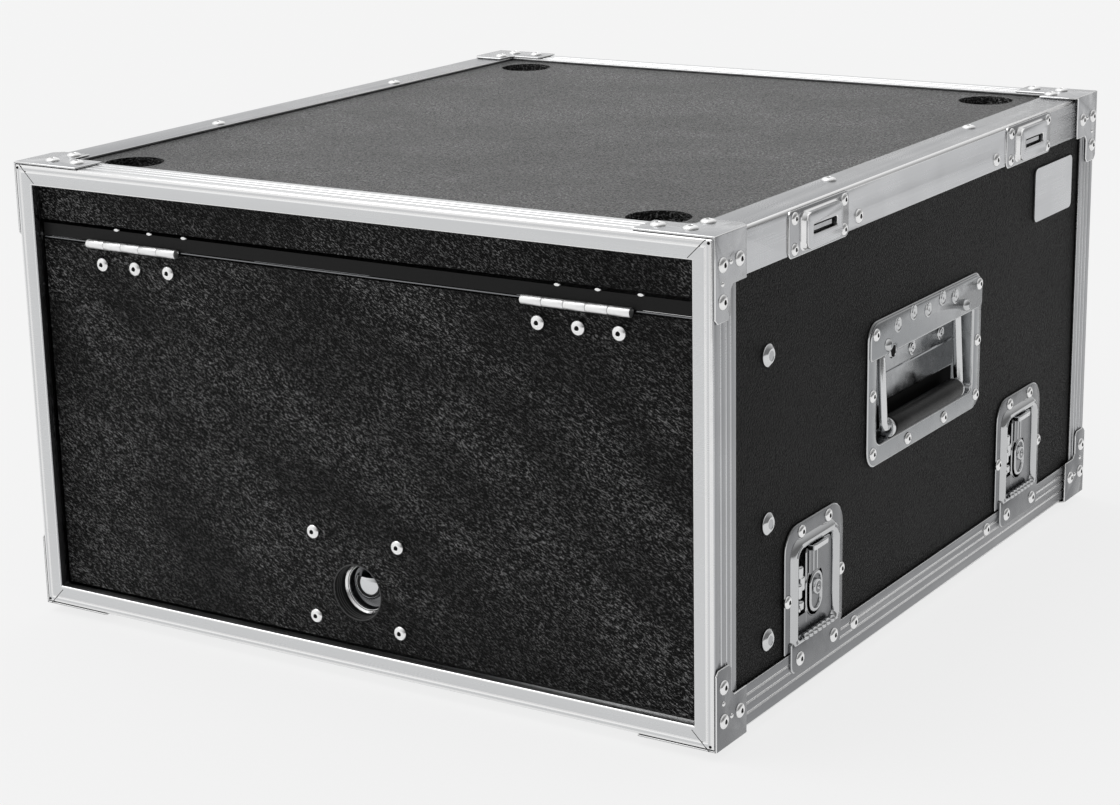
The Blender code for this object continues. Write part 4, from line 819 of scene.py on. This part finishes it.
def bail_arm(along):
    """Round wire from the pivot in the bracket down to the grip, as a converted curve."""
    bpy.ops.curve.primitive_bezier_curve_add(location=(0, 0, 0))
    wire = bpy.context.object
    wire.data.dimensions = "3D"
    spline = wire.data.splines[0]
    spline.bezier_points.add(4)
    inward = -math.copysign(1, along)
    route = (
        (along + inward * 5, 198.6, 258.2), (along + inward * 1.2, 197.8, 258.4),
        (along, 195, 258.8), (along, 149.5, 261.3), (along + inward * 1.5, 146.2, GRIP_OUT),
        (along + inward * 9, GRIP_UP, GRIP_OUT),
    )
    for point, (across, up, out) in zip(spline.bezier_points, route):
        point.co = (across * MM, up * MM, out * MM)
        point.handle_left_type = point.handle_right_type = "VECTOR"
    wire.data.bevel_depth = WIRE_RADIUS * MM
    wire.data.bevel_resolution = 5
    wire.data.resolution_u = 8
    wire.data.use_fill_caps = True
    only(wire)
    bpy.ops.object.convert(target="MESH")
    return bpy.context.object


bail = joined([bail_arm(-ARM_RUN), bail_arm(ARM_RUN)])
grip = loft(circles(
    (3.4, -54.5), (6.0, -54.4), (6.9, -53.6), (7.3, -52), (7.3, -30), (7.3, 30), (7.3, 52),
    (6.9, 53.6), (6.0, 54.4), (3.4, 54.5),
), steps=32)
washer = loft(circles(
    (3.4, -55.6), (6.5, -55.6), (6.9, -55.3), (6.9, -54.9), (6.5, -54.6), (3.4, -54.6)
), steps=28)
for side_name, wall, _ in FLANKS:
    handle = side_name + "_handle"
    place = against(wall)
    at_grip = against(wall, 0, GRIP_UP, GRIP_OUT) @ ALONG
    washers = [twin(washer, at_grip), twin(washer, at_grip @ Matrix.Rotation(math.pi, 4, "X"))]
    wire = joined([twin(bail, place)] + washers)
    # Painted light: the handle takes its own zinc copy, and its bends a painted highlight.
    plated = (zinc_handle, zinc_handle, zinc_handle, bend)
    for piece, part, finish, slot in (
        (twin(handle_plate, place), "dish", plated, "steel"), (wire, "bail", chrome, "steel"),
        (twin(grip, at_grip), "grip", rubber, "rubber"),
    ):
        node = f"{handle}_{part}"
        finish_piece(piece, node + "_made", body_of(node), finish)
        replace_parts(piece, node)
    finish_piece(twin(painted_handle_shade, place), handle + "_painted_shade_pieces", "case", joint_black_and_painted_shade)

# %% [markdown]
# ## Door hinges, finger hole and catch
# The door hangs on two piano-type hinges whose barrels show as bright bars. The finger hole is cut
# through the board, so its edge shows black-stained ply, with a worn rim and three paler plies.
# Behind it is a pressed cup in the darker zinc, painted shade, and its lip is painted bright as a
# highlight. The catch bolt's round pad, cut flat on top, stands in the cup on a stem, and a tongue
# behind the board leads down to the bolt.

# %% Hinge barrels
barrel = loft(circles(
    (1.0, -7.55), (2.3, -7.52), (2.75, -7.35), (2.9, -7.0), (2.9, 7.0), (2.75, 7.35), (2.3, 7.52),
    (1.0, 7.55),
), steps=24)
BARREL_UP, BARREL_OUT = 266.4, 289.8
for hinge_name, middle in (("left_hinge", -HINGE_RUN), ("right_hinge", HINGE_RUN)):
    rolls = [
        twin(barrel, against(FRONT, middle + step, BARREL_UP, BARREL_OUT) @ ALONG)
        for step in (-30.4, -15.2, 0, 15.2, 30.4)
    ]
    for turns, part, body, slot in (
        (rolls[::2], "door_knuckles", "front_door", "steel"),
        (rolls[1::2], "bar_knuckles", "case", "black_bar"),
    ):
        finish_piece(joined(turns), f"{hinge_name}_{part}", body, hinge_metal)

# %% Finger hole lining and cup
lining = loft(circles(
    (19.4, 287.05), (18.9, 287.25), (18.2, 286.9), (17.9, 286), (17.9, 278),
    centre=(0, FINGER_HOLE_UP)
), steps=48, close=False)
finish_piece(twin(lining, against(FRONT)), "finger_hole_lining", "front_door", ply_black)
plies = [loft(circles(
    (18.0, level), (17.75, level + 0.25), (17.75, level + 0.55), (18.0, level + 0.8),
    centre=(0, FINGER_HOLE_UP)
), steps=48, close=False) for level in (284.6, 282.6, 280.6)]
plies.append(loft(circles(
    (18.9, 287.2), (18.6, 287.35), (18.3, 287.2), centre=(0, FINGER_HOLE_UP)
), steps=48, close=False))
plies = joined(plies)
finish_piece(twin(plies, against(FRONT)), "finger_hole_plies", "front_door", ply_edge)
cup = loft(circles(
    (17.3, 276.9), (15.1, 275.5), (14.9, 275.0), (15.3, 274.4), (15.3, 272.4), (14.9, 271.6),
    (14.7, 270.2), (12.0, 269.3), centre=(0, FINGER_HOLE_UP)
), steps=48)
finish_piece(twin(cup, against(FRONT)), "finger_cup", "front_door", zinc_lower)
# Painted highlight: the lip takes the brightest finish so that it shows as a bright ring.
funnel = loft(circles(
    (17.2, 277.2), (16.6, 276.6), (15.8, 275.9), (15.2, 275.6), centre=(0, FINGER_HOLE_UP)
), steps=48, close=False)
finish_piece(twin(funnel, against(FRONT)), "finger_cup_lip", "front_door", rivet_metal)
pad = loft(circles(
    (10.6, 271.4), (10.6, 274.4), (10.1, 275.4), (8.9, 276.6), (7.2, 277.6), (5.0, 278.4),
    (2.6, 278.9), (0.6, 279.0), centre=(0, 59.6)
), steps=40)
PAD_FLAT = (0, 65 * MM, 0)
only(pad)
bpy.ops.object.mode_set(mode="EDIT")
bpy.ops.mesh.select_all(action="SELECT")
bpy.ops.mesh.bisect(plane_co=PAD_FLAT, plane_no=(0, 1, 0), use_fill=True, clear_outer=True)
bpy.ops.object.mode_set(mode="OBJECT")
stem = loft(circles((6.0, 267.7), (6.0, 271.6), centre=(0, FINGER_HOLE_UP)), steps=24)
tongue = loft(rectangles((-8, 22.5, 8, 63, 1, 1, 267.6), (-8, 22.5, 8, 63, 1, 1, 268.9)))
bolt = loft(rectangles(
    (-8, 22.5, 8, 41.6, 1, 1, 268.9), (-8, 22.5, 8, 41.6, 1, 1, 273.7),
    (-7.5, 23, 7.5, 41.1, 0.6, 0.6, 274.2),
))
catch_model = joined([pad, stem, tongue, bolt])
catch = twin(catch_model, against(FRONT))
finish_piece(catch, "catch_bolt_and_pad", "front_catch", chrome)
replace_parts(catch, "front_catch_bolt")

# %% [markdown]
# ## Mitres, corner beads and bar rivets
# Each frame is four lengths of extrusion cut at 45 degrees and closed at the corners, so a fine
# dark line runs from each outer corner to the inner one, and the bead leaves a small hole where
# its ends meet. The hinge's other leaf is riveted to the carriage bar, just under the header,
# where bare metal shows along three lengths of the bar's edge. Two pips pressed in the side leg of
# each brace keep it from turning on its rivets. The models that were copied are then deleted.

# %% Mitres, corner holes, bar rivets and brace pips
mitre = loft(rectangles(
    (-0.24, -9.2, 0.24, 7.6, 0.1, 0.1, 294.9), (-0.2, -9.1, 0.2, 7.5, 0.1, 0.1, 295.06)
))
corner_hole = loft(circles((1.0, 294.9), (0.9, 295.12), (0.3, 295.14)), steps=14)
MITRE_RUN, CORNER_HOLE_RUN = 255.4, 262.6
for name, wall in (("front", FRONT), ("rear", REAR)):
    marks = []
    for side in (-1, 1):
        for mitre_up, hole_up, tilt in ((310.3, 313.6, -1), (12.7, 9.4, 1)):
            lean = Matrix.Rotation(math.radians(45 * side * tilt), 4, "Z")
            marks.append(twin(mitre, against(wall, side * MITRE_RUN, mitre_up) @ lean))
            marks.append(twin(corner_hole, against(wall, side * CORNER_HOLE_RUN, hole_up)))
    finish_piece(joined(marks), name + "_frame_mitres", "case", joint_black_and_painted_shade)
bar_rivet = loft(circles((2.4, 287.0), (2.4, 287.5), (1.9, 288.1), (0.6, 288.3)), steps=18)
flat = Matrix.Scale(0.45, 4, Vector((0, 1, 0)))
BAR_RIVET_UP = 277.2
heads = joined([
    twin(bar_rivet, against(FRONT, hinge + along, BAR_RIVET_UP) @ flat)
    for hinge in (-HINGE_RUN, HINGE_RUN) for along in (-14, 14, 43)
])
finish_piece(heads, "front_bar_rivets", "case", rivet_metal)
edges = joined([loft(rectangles(
    (left, 266.6, right, 267.5, 0.3, 0.3, 286.6), (left, 266.7, right, 267.4, 0.3, 0.3, 287.6)
)) for left, right in ((-249, -211), (-131, 131), (211, 249))])
finish_piece(twin(edges, against(FRONT)), "front_bar_edge", "case", zinc_lower)
pip = loft(circles((1.7, 266.3), (1.5, 266.9), (0.9, 267.3), (0.3, 267.4)), steps=16)
spots = []
for _, wall, side in FLANKS:
    for _, end in ENDS:
        for run, up in ((19.4, 299.7), (9.4, 288.5), (19.4, 23.3), (9.4, 34.3)):
            spots.append(twin(pip, against(wall, side * end * (HALF_LENGTH - run), up)))
# Painted highlight: the pips take the bright rim finish.
finish_piece(joined(spots), "brace_pips", "case", rim)
MODELS = (
    rivet, hole_shade_cap, saucer, keeper, painted_pocket_shade, latch_plate, latch_flap, latch_hook, latch_wing, lip,
    knuckle, painted_well_shade, spring, handle_plate, painted_handle_shade, bail, grip, washer, barrel, lining, plies, cup,
    funnel, catch_model, mitre, corner_hole, bar_rivet, edges, pip,
)
for model in MODELS:
    bpy.data.objects.remove(model)

# %% [markdown]
# ## Floor, light and camera
# The case stands on a pale studio floor. One broad sun from the upper left gives the faint shadow
# to the right. The world is white and bright on that side and dims towards the other, which is
# what gives the metal its light and dark flanks. To the camera, and in mirrors and glass, the
# floor is mostly its own colour, so it looks pale without more light on the case, and the rest of
# the mix keeps the shadow. The camera stands at the front right corner, above the lid, with a long
# lens.

# %% Floor
bpy.ops.mesh.primitive_plane_add(size=60, location=(0, 0, 0))
floor = bpy.context.object
floor.name = "studio_floor"
PAPER = "#f4f4f4"
OWN_COLOUR_SHARE = 0.88
paper, paper_shader, _ = new_material("studio_paper", PAPER, 0.9)
glow = add_node(paper, "ShaderNodeEmission", {"Color": colour(PAPER), "Strength": 1.0})
rays = add_node(paper, "ShaderNodeLightPath", {}).outputs
seen = combine(paper, "MAXIMUM", rays["Is Camera Ray"], rays["Is Glossy Ray"])
seen = combine(paper, "MAXIMUM", seen, rays["Is Transmission Ray"])
share = add_node(
    paper, "ShaderNodeMath", {"operation": "MULTIPLY", 1: OWN_COLOUR_SHARE}, {0: seen}
)
blend = add_node(
    paper, "ShaderNodeMixShader", {},
    {0: share.outputs[0], 1: paper_shader.outputs[0], 2: glow.outputs[0]},
)
join(paper, blend.outputs[0], paper.node_tree.nodes["Material Output"].inputs["Surface"])
floor.data.materials.append(paper)

# %% World and sun
world = bpy.data.worlds.new("studio")
bpy.context.scene.world = world
world.use_nodes = True
backdrop = world.node_tree.nodes["Background"]
BRIGHT_SIDE = (-0.85, 0.05, 0.52)
looking = add_node(world, "ShaderNodeTexCoord", {}).outputs["Generated"]
facing = add_node(
    world, "ShaderNodeVectorMath", {"operation": "DOT_PRODUCT", 1: BRIGHT_SIDE}, {0: looking}
)
sky = remap(world, facing.outputs["Value"], -0.5, 0.5, 0.2, 1.0)
join(world, sky, backdrop.inputs["Strength"])
backdrop.inputs["Color"].default_value = colour("#ffffff")

bpy.ops.object.light_add(type="SUN", location=(-1.5, -1.0, 2.5))
sun = bpy.context.object
sun.name = "soft_sun"
sun.data.energy = 0.8
sun.data.angle = math.radians(40)
sun.rotation_mode = "QUATERNION"
sun.rotation_quaternion = Vector((0.55, 0.10, -1.0)).to_track_quat("-Z", "Y")

# %% Camera
FOCAL_PIXELS = 2556.7
IMAGE_WIDTH = 1120
YAW, PITCH, ROLL = 0.568, 0.273, -0.020
forward = Vector((
    -math.sin(YAW) * math.cos(PITCH), math.cos(YAW) * math.cos(PITCH), -math.sin(PITCH)
))
level = Vector((math.cos(YAW), math.sin(YAW), 0))
upward = level.cross(forward)
across = level * math.cos(ROLL) + upward * math.sin(ROLL)
upright = -level * math.sin(ROLL) + upward * math.cos(ROLL)
bpy.ops.object.camera_add(location=(0.9445, -1.521, 0.615))
camera = bpy.context.object
camera.rotation_mode = "QUATERNION"
camera.rotation_quaternion = Matrix((across, upright, -forward)).transposed().to_quaternion()
camera.data.lens = FOCAL_PIXELS / IMAGE_WIDTH * camera.data.sensor_width
camera.data.clip_start = 0.05
bpy.context.scene.camera = camera
bpy.context.scene.view_settings.view_transform = "Standard"

# %% Finish
bpy.context.view_layer.update()
